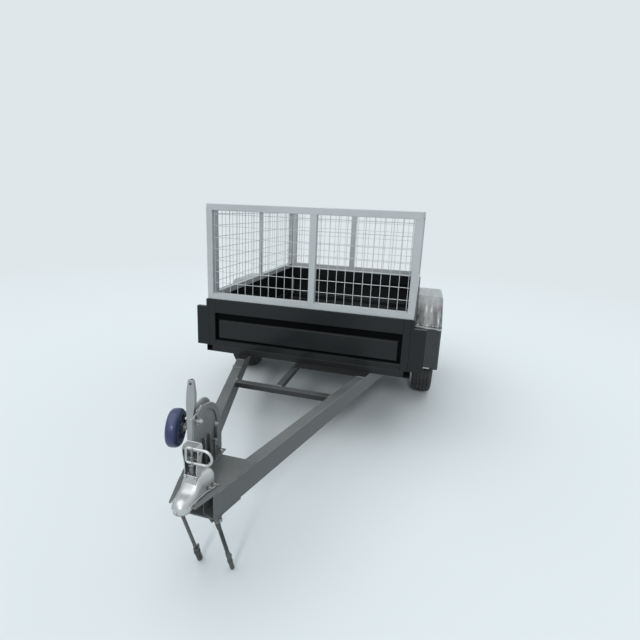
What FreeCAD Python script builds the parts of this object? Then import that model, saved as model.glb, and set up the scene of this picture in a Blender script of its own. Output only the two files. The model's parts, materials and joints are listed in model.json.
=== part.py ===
import FreeCAD, Part
import math
import os

# Box trailer with a mesh cage, in millimetres.
# X runs to the right, Y runs backwards from the coupling, Z runs up.
# The origin lies on the ground, under the middle of the bounding box.

Vec = FreeCAD.Vector
X_AXIS = Vec(1, 0, 0)
Y_AXIS = Vec(0, 1, 0)
Z_AXIS = Vec(0, 0, 1)

# Load box
load_width = 1220.0
load_length = 1525.0
box_base = 480.0
wall_height = 304.0
rim_width = 35.0
rim_band = 86.0
base_band = 36.0
sheet = 2.0
web_setback = 18.0
panel_rise = 10.0
panel_height = 122.0
panel_groove = 19.0
panel_base_gap = 12.0
panel_slope = 6.0
post_width = 60.0
wing_width = 66.0
wing_depth = 26.0
wing_drop = 50.0
floor_sheet = 3.0

# Cage
cage_height = 588.0
cage_tube = 38.0
cage_inset = 8.0
wire = 3.6
wire_gap = 0.3
wire_pitch_across = 50.8
wire_pitch_up = 70.4
wire_first_row = 104.0
wire_from_post = 24.0
wire_near_corner = 8.0
wire_grip = 6.0
side_mid_tube = 20.0
front_mid_offset = 38.0

# Chassis under the box
member = 40.0
member_wall = 2.5
member_count = 5

# Drawbar
nose_reach = 1298.0
rail_width = 50.0
rail_height = 90.0
rail_wall = 3.0
rail_tip_setback = 104.0
rail_tip_spread = 47.0
rail_root_spread = 394.0
rail_run_under = 330.0
brace = 40.0
brace_height = 28.0
spine_width = 34.0
spine_side = -23.0
brace_ahead = 382.0
tongue_plate_thickness = 6.0
tongue_plate_length = 280.0
tongue_plate_front = 28.0
tongue_plate_half = 48.0
gusset = 4.0
lug_plate_length = 120.0
gusset_depth = 78.0

# Coupling
ball = 50.0
ball_clearance = 0.5
coupling_sheet = 4.0
cup_rise = 18.0
cup_depth = 12.5
flange_slot_share = 0.67
keeper_inset = 0.5
cup_gap = 1.5
hoop_top_share = 0.62
cup_length = 60.0
coupling_length = 122.0
coupling_base_width = 96.0
coupling_neck_width = 70.0
coupling_height = 60.0
flange_width = 14.0
latch_back = 80.0
latch_height = 114.0
latch_width = 58.0
latch_depth = 30.0
loop_wire = 9.0
loop_width = 108.0
loop_height = 66.0
loop_side = 28.0
loop_rise = 58.0

# Hand brake
lever_length = 255.0
lever_foot_width = 16.0
lever_hand_width = 28.0
lever_top_width = 20.0
lever_hand_share = 0.67
lever_pin = 10.0
lever_pin_rise = 111.0
lever_depth = 16.0
lever_sheet = 3.0
lever_back = 178.0
lever_side = 33.0
lever_foot_height = 90.0
lever_lean = -4.0
bracket_thickness = 6.0
bracket_length = 190.0
bracket_ahead = 20.0
bracket_height = 245.0
bracket_low_share = 0.5
bracket_shoulder_share = 0.88
bracket_top_shares = (0.3, 0.7)
bracket_front_share = 0.9

# Jockey wheel, stowed along the left rail
jockey_tube = 48.0
jockey_wall = 3.0
jockey_along = 338.0
jockey_gap = 14.0
jockey_rise = 85.0
jockey_reach = 200.0
jockey_tilt = 15.0
jockey_low_end = 80.0
jockey_high_end = 210.0
jockey_inner_top = 190.0
jockey_cap = 4.0
jockey_boss_wall = 4.0
jockey_wheel_width = 50.0
jockey_wheel_radius = 85.0
jockey_fork_sheet = 4.0
crank_arm = 110.0
crank_rod = 12.0
grip_length = 90.0
grip_radius = 14.0

# Parking legs under the tip of the drawbar
leg_bar = 14.0
leg_foot_radius = 12.0
leg_foot_length = 90.0
leg_foot_back = 251.0
leg_pin = 10.0
leg_left_side = 80.0
leg_right_side = 60.0
leg_pivot_drop = 20.0
leg_pivot_back = 28.0
lug_thickness = 6.0
lug_length = 52.0
leg_side_gap = 1.0

# Running gear
axle_back = 900.0
tyre_radius = 292.0
tyre_width = 145.0
rim_radius = 165.0
rim_lip = 12.0
rim_well = 8.0
disc_sheet = 4.0
dish_share = 0.75
dish_rise = 16.0
tyre_side_gap = 8.0
tyre_crown = 8.0
tyre_shoulder_share = 0.8
axle_bar = 40.0
axle_wall = 5.0
axle_stub = 13.3
spring_span = 760.0
spring_width = 45.0
spring_leaf = 7.0
spring_leaves = 5
spring_camber = 34.0
spring_taper_share = 0.8
spring_edge = 30.0
spring_eye = 20.0
spring_bolt = 7.0
hanger_wall = 5.0
drum_radius = 115.0
drum_width = 48.0
drum_face = 84.0
stud_circle = 114.3
stud_count = 5
stud = 12.0
hub_radius = 42.0
hub_cap_radius = 32.0
running_gap = 0.3

# Mudguards
guard_sheet = 2.0
guard_width = 175.0
guard_clear = 196.0
guard_lip = 22.0
guard_front_length = 385.0
guard_front_height = 466.0
guard_top_share = 0.42
guard_slope_share = 0.335

# Tailgate, cage gate and lamps
gate_gap = 5.0
hinge_radius = 9.0
hinge_pin_radius = 5.0
hinge_length = 66.0
hinge_leaf = 30.0
hinge_sheet = 3.0
gate_hinge_count = 3
tailgate_hinge_count = 3
tailgate_hinge_reach = 420.0
lamp_width = 150.0
lamp_height = 80.0
lamp_depth = 40.0

# Shared small values
overrun = 10.0
slip = 0.3
running_fit = 0.05

# Places worked out from the sizes above
box_half = load_width / 2 + rim_width
rim_top = box_base + wall_height
hinge_reach = 2 * hinge_radius
overall_length = nose_reach + load_length + 2 * rim_width + hinge_reach
nose_y = -overall_length / 2
cup_y = nose_y + ball / 2 + coupling_sheet + ball_clearance
front_y = nose_y + nose_reach
rear_y = front_y + load_length + 2 * rim_width
member_top = box_base
member_base = member_top - member
rail_top = member_base
rail_base = rail_top - rail_height
leg_pivot_height = rail_base - lug_thickness - leg_pivot_drop
axle_y = front_y + axle_back
tyre_x = box_half + tyre_side_gap + tyre_width / 2
spring_x = box_half - spring_edge
spring_arc = (spring_span * spring_span / 4 + spring_camber * spring_camber) / (2 * spring_camber)
spring_centre_z = tyre_radius + axle_bar / 2 + spring_leaves * spring_leaf + spring_arc
spring_eye_arc = spring_arc + 1.5 * spring_leaf - spring_eye
spring_end_angle = math.asin(spring_span / 2 / spring_arc)
spring_eye_y = spring_eye_arc * math.sin(spring_end_angle)
spring_eye_z = spring_centre_z - spring_eye_arc * math.cos(spring_end_angle)
cage_half = box_half - cage_inset
cage_front_y = front_y + cage_inset
cage_rear_y = rear_y - cage_inset
cage_top = rim_top + cage_height
rail_tip_y = nose_y + rail_tip_setback
rail_end_y = front_y + rail_run_under
jockey_axis_x = -(rail_width + jockey_tube) / 2 - jockey_gap
jockey_height = rail_top + jockey_rise
jockey_shaft = jockey_tube / 3
leaf_root = hinge_radius + 2 * slip
tailgate_axis_z = box_base + gate_gap / 2
gate_axis_x = -cage_half + cage_tube + gate_gap / 2


def block(x0, x1, y0, y1, z0, z1):
    low = Vec(min(x0, x1), min(y0, y1), min(z0, z1))
    return Part.makeBox(abs(x1 - x0), abs(y1 - y0), abs(z1 - z0), low)


def rod(start, end, radius):
    along = end - start
    return Part.makeCylinder(radius, along.Length, start, along)


def prism(points, along):
    wire_loop = Part.makePolygon(points + [points[0]])
    return Part.Face(wire_loop).extrude(along)


def fused(shapes):
    if len(shapes) == 1:
        return shapes[0]
    return shapes[0].multiFuse(shapes[1:]).removeSplitter()


def mirrored(shape):
    return shape.mirror(Vec(0, 0, 0), X_AXIS)


def group(shapes):
    return Part.makeCompound(shapes)


def hollow_bar_x(x0, x1, y0, z0, depth, height, wall):
    outer = block(x0, x1, y0, y0 + depth, z0, z0 + height)
    inner = block(x0 - overrun, x1 + overrun, y0 + wall, y0 + depth - wall,
                  z0 + wall, z0 + height - wall)
    return outer.cut(inner)


def hollow_bar_y(y0, y1, x0, z0, width, height, wall):
    outer = block(x0, x0 + width, y0, y1, z0, z0 + height)
    inner = block(x0 + wall, x0 + width - wall, y0 - overrun, y1 + overrun,
                  z0 + wall, z0 + height - wall)
    return outer.cut(inner)


def wall_section(height):
    """Depth inwards and height of the folded wall: outline, then its two hollows."""
    web_in = web_setback + sheet
    rim_low = height - rim_band
    outline = [(0, 0), (rim_width, 0), (rim_width, base_band), (web_in, base_band),
               (web_in, rim_low), (rim_width, rim_low), (rim_width, height),
               (0, height), (0, rim_low), (web_setback, rim_low),
               (web_setback, base_band), (0, base_band)]
    hollows = []
    for low, high in ((0, base_band), (rim_low, height)):
        hollows.append([(sheet, low + sheet), (rim_width - sheet, low + sheet),
                        (rim_width - sheet, high - sheet), (sheet, high - sheet)])
    return outline, hollows


def pressed_pan(length, proud_of, depth):
    """A pan with sloping edges, its top facing minus Y, its left end at X zero."""
    base_low = base_band + panel_base_gap
    base_high = base_low + panel_height

    def loop(inset, y):
        low = base_low + inset
        high = base_high - inset
        corners = [Vec(inset, y, low), Vec(length - inset, y, low),
                   Vec(length - inset, y, high), Vec(inset, y, high)]
        return Part.makePolygon(corners + [corners[0]])

    back = proud_of + depth
    return Part.makeLoft([loop(0, back), loop(panel_slope, proud_of)], True)


def folded_wall(length, height):
    """A wall along X from zero to its length, its outer face at Y zero, its foot at Z zero."""
    outline, hollows = wall_section(height)

    def extruded(points):
        return prism([Vec(0, depth, height) for depth, height in points], Vec(length, 0, 0))

    wall = extruded(outline)
    for hollow in hollows:
        wall = wall.cut(extruded(hollow))
    pan_length = length - 2 * panel_groove
    pan = pressed_pan(pan_length, web_setback - panel_rise, panel_rise)
    inside = pan.copy()
    pan.translate(Vec(panel_groove, 0, 0))
    inside.translate(Vec(panel_groove, sheet, 0))
    return wall.fuse(pan).cut(inside).removeSplitter()


def turned_wall(length, angle, place, height=wall_height):
    wall = folded_wall(length, height)
    wall.rotate(Vec(0, 0, 0), Z_AXIS, angle)
    wall.translate(place)
    return wall


def front_wall():
    half = box_half - post_width
    return turned_wall(2 * half, 0, Vec(-half, front_y, box_base))


def left_wall():
    length = rear_y - front_y - 2 * post_width
    return turned_wall(length, -90, Vec(-box_half, rear_y - post_width, box_base))


def corner_post(y0):
    outer = block(box_half - post_width, box_half, y0, y0 + post_width, box_base, rim_top)
    inner = block(box_half - post_width + sheet, box_half - sheet, y0 + sheet,
                  y0 + post_width - sheet, box_base + sheet, rim_top - sheet)
    return outer.cut(inner)


def front_post():
    top = rim_top - wing_drop
    wing = block(box_half - sheet, box_half + wing_width, front_y, front_y + wing_depth,
                 box_base, top)
    pocket = block(box_half, box_half + wing_width - sheet, front_y + sheet,
                   front_y + wing_depth + overrun, box_base + base_band, top - sheet)
    return corner_post(front_y).fuse(wing.cut(pocket)).removeSplitter()


def floor_plate():
    inset = rim_width - base_band / 2
    half = load_width / 2
    y0 = front_y + rim_width
    y1 = rear_y - rim_width - gate_gap
    plate = block(-half, half, y0, y1, box_base, box_base + floor_sheet)
    notch = post_width - rim_width + slip
    for side in (-1, 1):
        for y_low, y_high in ((y0 - inset, y0 + notch), (y1 - notch, y1 + inset)):
            plate = plate.cut(block(side * (half - notch), side * (half + inset), y_low, y_high,
                                    box_base - overrun, box_base + overrun))
    return plate


def cross_members():
    half = box_half - member
    pitch = (rear_y - front_y - member) / (member_count - 1)
    return group([hollow_bar_x(-half, half, front_y + index * pitch, member_base,
                               member, member, member_wall) for index in range(member_count)])


def side_rail():
    return hollow_bar_y(front_y, rear_y, -box_half, member_base, member, member, member_wall)


def rail_line():
    """Middle of the left rail at its tip and at its end, and its direction."""
    run = (rail_root_spread - rail_tip_spread) / (front_y - rail_tip_y)
    tip = Vec(-rail_tip_spread, rail_tip_y, rail_base)
    end = Vec(-rail_tip_spread - run * (rail_end_y - rail_tip_y), rail_end_y, rail_base)
    return tip, end


def drawbar_rail():
    tip, end = rail_line()
    along = end - tip
    length = along.Length
    bar = hollow_bar_y(0, length, -rail_width / 2, 0, rail_width, rail_height, rail_wall)
    angle = math.degrees(math.atan2(-along.x, along.y))
    bar.rotate(Vec(0, 0, 0), Z_AXIS, angle)
    bar.translate(tip)
    return bar


def rail_inner_x(y):
    """How far from the middle the inner face of a drawbar rail lies, at a place along Y."""
    return rail_face_x(y, -rail_width / 2)


def rail_outer_x(y):
    """How far from the middle the outer face of a drawbar rail lies, at a place along Y."""
    return rail_face_x(y, rail_width / 2)


def rail_face_x(y, aside):
    tip, end = rail_line()
    slope = (tip.x - end.x) / (end.y - tip.y)
    skew = math.sqrt(1 + slope * slope)
    return rail_tip_spread + slope * (y - tip.y) + aside * skew


def drawbar_brace():
    y0 = front_y - brace_ahead
    y1 = y0 + brace
    low = rail_top - brace_height
    points = [Vec(-rail_inner_x(y0), y0, low), Vec(rail_inner_x(y0), y0, low),
              Vec(rail_inner_x(y1), y1, low), Vec(-rail_inner_x(y1), y1, low)]
    bar = prism(points, Vec(0, 0, brace_height))
    reach = rail_inner_x(y1)
    bore = block(-reach, reach, y0 + member_wall, y1 - member_wall,
                 low + member_wall, rail_top - member_wall)
    return bar.cut(bore)


def drawbar_spine():
    y0 = front_y - brace_ahead + brace
    return hollow_bar_y(y0, front_y + member, spine_side - spine_width / 2, rail_top - brace_height,
                        spine_width, brace_height, member_wall)


def tongue_plate():
    """The flat plate over the tips of the rails, which carries the coupling and runs out ahead of them."""
    y0 = nose_y + tongue_plate_front
    y1 = y0 + tongue_plate_length
    half = rail_outer_x(rail_tip_y)
    points = []
    for side in (-1, 1):
        edge = [Vec(side * tongue_plate_half, y0, rail_top), Vec(side * half, rail_tip_y, rail_top),
                Vec(side * rail_outer_x(y1), y1, rail_top)]
        points += edge if side > 0 else edge[::-1]
    plate = prism(points, Vec(0, 0, tongue_plate_thickness))
    notch = coupling_neck_width / 2 + cup_gap
    return plate.cut(block(-notch, notch, y0 - overrun, cup_y + cup_length + cup_gap,
                           rail_top - overrun, rail_top + overrun))


def rail_gussets():
    """Thin plates that tie the drawbar to the front of the box, a long one on the right."""
    y0 = front_y - gusset_depth
    out0 = rail_outer_x(y0)
    out1 = rail_outer_x(front_y)
    inner = rail_inner_x(y0)
    right = prism([Vec(spine_side, y0, rail_top), Vec(out0, y0, rail_top), Vec(out1, front_y, rail_top),
                   Vec(spine_side, front_y, rail_top)], Vec(0, 0, gusset))
    left = prism([Vec(-out0, y0, rail_top), Vec(-inner, y0, rail_top), Vec(-inner, front_y, rail_top),
                  Vec(-out1, front_y, rail_top)], Vec(0, 0, gusset))
    return group([left, right])


def lug_plate():
    """The flat plate under the tips, with two cheeks and a pin for each parking leg."""
    y0 = rail_tip_y
    y1 = y0 + lug_plate_length
    z1 = rail_base
    z0 = z1 - lug_thickness
    half = leg_bar / 2 + leg_side_gap + lug_thickness
    back = rail_outer_x(y1)
    left = -leg_left_side - half
    right = leg_right_side + half
    parts = [prism([Vec(left, y0, z0), Vec(right, y0, z0), Vec(back, y1, z0), Vec(-back, y1, z0)],
                   Vec(0, 0, lug_thickness))]
    y = rail_tip_y + leg_pivot_back
    low = leg_pivot_height - leg_pin
    for x in (-leg_left_side, leg_right_side):
        for side in (-1, 1):
            inner = x + side * (leg_bar / 2 + leg_side_gap)
            points = [Vec(inner, y - lug_length / 2, z0), Vec(inner, y + lug_length / 2, z0),
                      Vec(inner, y + leg_pin, low), Vec(inner, y - leg_pin, low)]
            parts.append(prism(points, Vec(side * lug_thickness, 0, 0)))
        parts.append(rod(Vec(x - half, y, leg_pivot_height), Vec(x + half, y, leg_pivot_height),
                         leg_pin / 2))
    return fused(parts)


def parking_leg(x):
    pivot = Vec(x, rail_tip_y + leg_pivot_back, leg_pivot_height)
    angle = math.atan2(nose_y + leg_foot_back - pivot.y, leg_pivot_height)
    drop = Vec(0, math.sin(angle), -math.cos(angle))
    across = Vec(0, math.cos(angle), math.sin(angle))
    length = leg_pivot_height / math.cos(angle)
    half = leg_bar / 2
    start = pivot - drop * leg_pin
    bar = prism([start - across * half - X_AXIS * half, start + across * half - X_AXIS * half,
                 start + across * half + X_AXIS * half, start - across * half + X_AXIS * half],
                drop * (length + leg_pin - leg_foot_length / 2))
    end = pivot + drop * (length + overrun)
    foot = rod(end - drop * (leg_foot_length + overrun), end, leg_foot_radius)
    leg = bar.fuse(foot)
    leg = leg.cut(rod(pivot - X_AXIS * overrun, pivot + X_AXIS * overrun, leg_pin / 2 + slip / 2))
    below = block(x - 2 * leg_foot_length, x + 2 * leg_foot_length, nose_y, nose_y + 2 * leg_foot_back,
                  -2 * leg_foot_length, 0)
    return leg.cut(below).removeSplitter()


def coupling_body():
    """A pressed cone over the ball, running back into a flanged channel."""
    ball_y = cup_y
    seat = rail_top + tongue_plate_thickness
    centre = Vec(0, ball_y, seat + cup_rise - ball / 2)
    radius = ball / 2 + ball_clearance + coupling_sheet
    cup_low = centre.z - cup_depth
    dome = Part.makeSphere(radius, centre)
    neck_y = ball_y + cup_length
    back_y = neck_y + coupling_length - cup_length

    def hoop(y, width, low, high, shrink):
        half = width / 2 - shrink
        top = high - shrink
        return Part.makePolygon([Vec(-half, y, low), Vec(half, y, low), Vec(half * hoop_top_share, y, top),
                                 Vec(-half * hoop_top_share, y, top), Vec(-half, y, low)])

    def body(shrink, spill):
        return Part.makeLoft([
            hoop(ball_y, 2 * radius, cup_low - spill, centre.z + radius, shrink),
            hoop(neck_y, coupling_neck_width, seat - spill, seat + coupling_height, shrink),
            hoop(back_y + spill, coupling_base_width, seat - spill, seat + coupling_height, shrink)],
            True, True)

    shell = dome.fuse(body(0, 0))
    shell = shell.cut(block(-radius * 2, radius * 2, nose_y - overrun, neck_y - overrun,
                            cup_low - 2 * radius, cup_low))
    shell = shell.cut(body(coupling_sheet, overrun))
    keeper = Part.makeCylinder(radius - keeper_inset, cup_depth + keeper_inset, Vec(0, ball_y, cup_low))
    shell = shell.fuse(keeper)
    shell = shell.cut(Part.makeSphere(ball / 2 + ball_clearance, centre))
    shell = shell.cut(Part.makeCylinder(ball / 2 + ball_clearance, 2 * radius,
                                        Vec(0, ball_y, centre.z - 2 * radius)))
    half0 = coupling_neck_width / 2 + flange_width
    half1 = coupling_base_width / 2 + flange_width
    y0 = neck_y + overrun
    flange = prism([Vec(-half0, y0, seat), Vec(half0, y0, seat), Vec(half1, back_y, seat),
                    Vec(-half1, back_y, seat)], Vec(0, 0, coupling_sheet))
    slot_half = coupling_neck_width / 2 * flange_slot_share
    slot = block(-slot_half, slot_half, y0 - overrun, back_y + overrun,
                 seat - overrun, seat + coupling_sheet + overrun)
    flange = flange.cut(slot)
    return shell.fuse(flange).removeSplitter()


def latch_column():
    seat = rail_top + tongue_plate_thickness + coupling_height
    y0 = nose_y + latch_back
    return block(-latch_width / 2, latch_width / 2, y0, y0 + latch_depth, seat + slip, seat + latch_height)


def latch_loop():
    low = rail_top + tongue_plate_thickness + coupling_height + loop_rise
    high = low + loop_height
    y = nose_y + latch_back - loop_wire / 2 - slip
    left = loop_side - loop_width / 2
    right = loop_side + loop_width / 2
    corners = [Vec(left, y, low), Vec(right, y, low), Vec(right, y, high), Vec(left, y, high)]
    bars = [rod(corners[index], corners[(index + 1) % 4], loop_wire / 2) for index in range(4)]
    return fused(bars + [Part.makeSphere(loop_wire / 2, corner) for corner in corners])


def brake_bracket():
    """The upright plate that carries the lever on a short pin."""
    x = -lever_side
    y0 = nose_y + lever_back - bracket_ahead
    z0 = rail_top + tongue_plate_thickness
    first, last = bracket_top_shares
    outline_shares = [(0, 0), (1, 0), (1, bracket_low_share), (last, bracket_shoulder_share), (first, 1),
                      (0, bracket_front_share)]
    points = [Vec(x, y0 + bracket_length * along, z0 + bracket_height * up) for along, up in outline_shares]
    plate = prism(points, Vec(-bracket_thickness, 0, 0))
    y = nose_y + lever_back + lever_depth / 2
    z = z0 + lever_foot_height + lever_pin_rise
    pin = rod(Vec(x, y, z), Vec(x - bracket_thickness - lever_hand_width, y, z), lever_pin / 2)
    return plate.fuse(pin).removeSplitter()


def brake_lever():
    """A channel, open backwards, that widens to the hand and narrows again at its tip."""
    x = -lever_side - bracket_thickness - slip
    y = nose_y + lever_back
    z0 = rail_top + tongue_plate_thickness + lever_foot_height
    middle = x - lever_hand_width / 2

    def face(height, width, shrink, back):
        half = width / 2 - shrink
        front = y + shrink
        rear = y + lever_depth + back
        corners = [Vec(middle - half, front, z0 + height), Vec(middle + half, front, z0 + height),
                   Vec(middle + half, rear, z0 + height), Vec(middle - half, rear, z0 + height)]
        return Part.makePolygon(corners + [corners[0]])

    hand = lever_length * lever_hand_share
    outer = Part.makeLoft([face(0, lever_foot_width, 0, 0), face(hand, lever_hand_width, 0, 0),
                           face(lever_length, lever_top_width, 0, 0)], True, True)
    inner = Part.makeLoft([face(-overrun, lever_foot_width, lever_sheet, overrun),
                           face(hand, lever_hand_width, lever_sheet, overrun),
                           face(lever_length + overrun, lever_top_width, lever_sheet, overrun)], True, True)
    lever = outer.cut(inner)
    pin_y = y + lever_depth / 2
    pin_z = z0 + lever_pin_rise
    lever = lever.fuse(rod(Vec(x - slip, pin_y, pin_z), Vec(middle, pin_y, pin_z), lever_pin))
    lever = lever.cut(rod(Vec(x + overrun, pin_y, pin_z), Vec(x - 2 * lever_hand_width, pin_y, pin_z),
                          lever_pin / 2 + running_fit))
    lever.rotate(Vec(x, pin_y, pin_z), X_AXIS, lever_lean)
    return lever


def beside_rail(shape):
    """Places a shape whose Y runs along the left rail from its tip, X zero on its middle."""
    tip, end = rail_line()
    along = end - tip
    shape.rotate(Vec(0, 0, 0), Z_AXIS, math.degrees(math.atan2(-along.x, along.y)))
    shape.translate(Vec(tip.x, tip.y, 0))
    return shape


def jockey_clamp():
    """The plate on the rail, with the stub shaft that the stand turns on."""
    half = jockey_tube / 2
    face = -rail_width / 2
    plate = block(face - bracket_thickness, face, jockey_along - half, jockey_along + half,
                  rail_base, jockey_height + half)
    shaft = rod(Vec(face, jockey_along, jockey_height), Vec(face - jockey_gap, jockey_along, jockey_height),
                jockey_shaft)
    return beside_rail(plate.fuse(shaft).removeSplitter())


def stowed(shape):
    """Lays a shape of the stand, its tube along Y from its pivot, beside the rail with its wheel end high."""
    shape.rotate(Vec(0, 0, 0), X_AXIS, -jockey_tilt)
    shape.translate(Vec(jockey_axis_x, jockey_along, jockey_height))
    return beside_rail(shape)


def jockey_leg():
    """The outer tube of the stand with the boss it turns on and the crank at its end."""
    half = jockey_tube / 2
    tube = rod(Vec(0, -jockey_low_end, 0), Vec(0, jockey_high_end, 0), half)
    boss = rod(Vec(0, 0, 0), Vec(half + jockey_gap - bracket_thickness - slip, 0, 0),
               jockey_shaft + jockey_boss_wall)
    arm_y = jockey_high_end + crank_rod
    spindle = rod(Vec(0, jockey_high_end - jockey_cap / 2, 0), Vec(0, arm_y, 0), crank_rod / 2)
    arm = block(-crank_rod / 2, crank_rod / 2, arm_y - crank_rod / 2, arm_y + crank_rod / 2,
                -crank_arm, crank_rod / 2)
    grip = rod(Vec(0, arm_y, -crank_arm), Vec(0, arm_y + grip_length, -crank_arm), grip_radius)
    leg = tube.fuse(boss)
    for piece in (spindle, arm, grip):
        leg = leg.fuse(piece)
    inside = rod(Vec(0, -jockey_low_end - overrun, 0), Vec(0, jockey_high_end - jockey_cap, 0),
                 half - jockey_wall)
    shaft = rod(Vec(half, 0, 0), Vec(half + jockey_gap, 0, 0), jockey_shaft + running_fit)
    return stowed(leg.cut(inside).cut(shaft))


def jockey_inner():
    """The inner tube, which slides out of the outer one, with the fork on its end."""
    radius = jockey_tube / 2 - jockey_wall - slip
    crown = jockey_wheel_radius + overrun - jockey_reach
    tip = -jockey_reach - crank_rod
    fork_half = jockey_wheel_width / 2 + leg_side_gap + jockey_fork_sheet
    tube = rod(Vec(0, crown - jockey_fork_sheet / 2, 0), Vec(0, jockey_inner_top, 0), radius)
    fork = block(-fork_half, fork_half, tip, crown, -radius, radius)
    fork = fork.cut(block(-fork_half + jockey_fork_sheet, fork_half - jockey_fork_sheet, tip - overrun,
                          crown - jockey_fork_sheet, -jockey_tube, jockey_tube))
    reach = fork_half - jockey_fork_sheet / 2
    pin = rod(Vec(-reach, -jockey_reach, 0), Vec(reach, -jockey_reach, 0), crank_rod / 2)
    bore = rod(Vec(0, crown + overrun, 0), Vec(0, jockey_inner_top + overrun, 0), radius - jockey_wall)
    return stowed(tube.fuse(fork).fuse(pin).cut(bore))


def jockey_wheel():
    half = jockey_wheel_width / 2
    wheel = rod(Vec(-half, -jockey_reach, 0), Vec(half, -jockey_reach, 0), jockey_wheel_radius)
    bore = rod(Vec(-half - overrun, -jockey_reach, 0), Vec(half + overrun, -jockey_reach, 0),
               crank_rod / 2 + running_fit)
    return stowed(wheel.cut(bore))


def axle():
    reach = tyre_x - tyre_width / 2
    bar = hollow_bar_x(-reach, reach, axle_y - axle_bar / 2, tyre_radius - axle_bar / 2,
                       axle_bar, axle_bar, axle_wall)
    stub = tyre_x + hub_radius / 2
    stubs = [rod(Vec(side * reach, axle_y, tyre_radius), Vec(side * stub, axle_y, tyre_radius),
                 axle_stub) for side in (-1, 1)]
    ends = [block(side * reach, side * (reach - axle_wall), axle_y - axle_bar / 2, axle_y + axle_bar / 2,
                  tyre_radius - axle_bar / 2, tyre_radius + axle_bar / 2) for side in (-1, 1)]
    return fused([bar] + ends + stubs)


def leaf(x, index, half_angle):
    """One leaf as a bent strip, its two faces round the same centre as its neighbours'."""
    near = spring_arc + index * spring_leaf
    far = near + spring_leaf

    def bend(radius):
        def place(angle):
            return Vec(x - spring_width / 2, axle_y + radius * math.sin(angle),
                       spring_centre_z - radius * math.cos(angle))
        start, end = place(-half_angle), place(half_angle)
        return Part.Arc(start, place(0), end), start, end

    inner, inner_start, inner_end = bend(near)
    outer, outer_start, outer_end = bend(far)
    edges = [inner, Part.LineSegment(inner_end, outer_end),
             outer, Part.LineSegment(outer_start, inner_start)]
    strip = Part.Face(Part.Wire(Part.__sortEdges__([edge.toShape() for edge in edges])))
    return strip.extrude(Vec(spring_width, 0, 0))


def leaf_spring(x):
    """A stack of shortening leaves, the longest with an eye at each end."""
    leaves = []
    for index in range(spring_leaves):
        reach = spring_span / 2 * (1 - index / spring_leaves * spring_taper_share)
        leaves.append(leaf(x, index, math.asin(reach / spring_arc)))
    bores = []
    for side in (-1, 1):
        low = Vec(x - spring_width / 2, axle_y + side * spring_eye_y, spring_eye_z)
        leaves.append(rod(low, low + X_AXIS * spring_width, spring_eye))
        bores.append(rod(low - X_AXIS * overrun, low + X_AXIS * (spring_width + overrun),
                         spring_bolt + running_fit))
    spring = fused(leaves)
    for bore in bores:
        spring = spring.cut(bore)
    return spring


def hanger(x, y):
    top = member_base
    eye_z = spring_eye_z
    half = spring_width / 2 + slip
    low = eye_z - spring_eye - hanger_wall
    parts = [block(x - half - hanger_wall, x + half + hanger_wall, y - spring_eye - overrun,
                   y + spring_eye + overrun, top - hanger_wall, top)]
    for side in (-1, 1):
        inner = x + side * half
        parts.append(prism([Vec(inner, y - spring_eye - overrun, top),
                            Vec(inner, y + spring_eye + overrun, top),
                            Vec(inner, y + spring_eye, low), Vec(inner, y - spring_eye, low)],
                           Vec(side * hanger_wall, 0, 0)))
    reach = half + hanger_wall + sheet - slip
    parts.append(rod(Vec(x - reach, y, eye_z), Vec(x + reach, y, eye_z), spring_bolt))
    return fused(parts)


def hangers():
    return group([hanger(side * spring_x, axle_y + end * spring_eye_y)
                  for side in (-1, 1) for end in (-1, 1)])


def wheel_disc():
    """Right wheel: rim, dished disc, hub and drum as one turned piece with its stud holes."""
    half = tyre_width / 2 - rim_lip
    lip = rim_radius + rim_lip
    inner_x = tyre_x - tyre_width / 2 + axle_wall
    bore = axle_stub + running_fit
    well = rim_radius - rim_well
    dish = rim_radius * dish_share
    face_x = tyre_x + dish_rise
    points = [
        Vec(inner_x, bore, 0), Vec(inner_x, drum_radius, 0), Vec(inner_x + drum_width, drum_radius, 0),
        Vec(inner_x + drum_width, drum_face, 0), Vec(tyre_x + disc_sheet, drum_face, 0),
        Vec(tyre_x + disc_sheet, dish, 0), Vec(tyre_x - disc_sheet, well - disc_sheet, 0),
        Vec(tyre_x - half, well, 0), Vec(tyre_x - half, lip, 0),
        Vec(tyre_x - half + disc_sheet, lip, 0), Vec(tyre_x - half + disc_sheet, rim_radius, 0),
        Vec(tyre_x + half - disc_sheet, rim_radius, 0), Vec(tyre_x + half - disc_sheet, lip, 0),
        Vec(tyre_x + half, lip, 0), Vec(tyre_x + half, well, 0),
        Vec(tyre_x + rim_well, well - disc_sheet, 0), Vec(face_x, dish, 0),
        Vec(face_x, hub_cap_radius, 0), Vec(tyre_x + hub_radius, hub_cap_radius, 0),
        Vec(tyre_x + hub_radius, 0, 0), Vec(tyre_x + hub_radius - disc_sheet, 0, 0),
        Vec(tyre_x + hub_radius - disc_sheet, bore, 0),
    ]
    loop = Part.Face(Part.makePolygon(points + [points[0]]))
    turned = loop.revolve(Vec(0, 0, 0), X_AXIS, 360)
    turned.translate(Vec(0, axle_y, tyre_radius))
    for index in range(stud_count):
        angle = 2 * math.pi * index / stud_count
        y = axle_y + stud_circle / 2 * math.cos(angle)
        z = tyre_radius + stud_circle / 2 * math.sin(angle)
        turned = turned.cut(rod(Vec(tyre_x + 2 * disc_sheet, y, z), Vec(face_x + overrun, y, z), stud / 2))
    return turned


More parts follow.
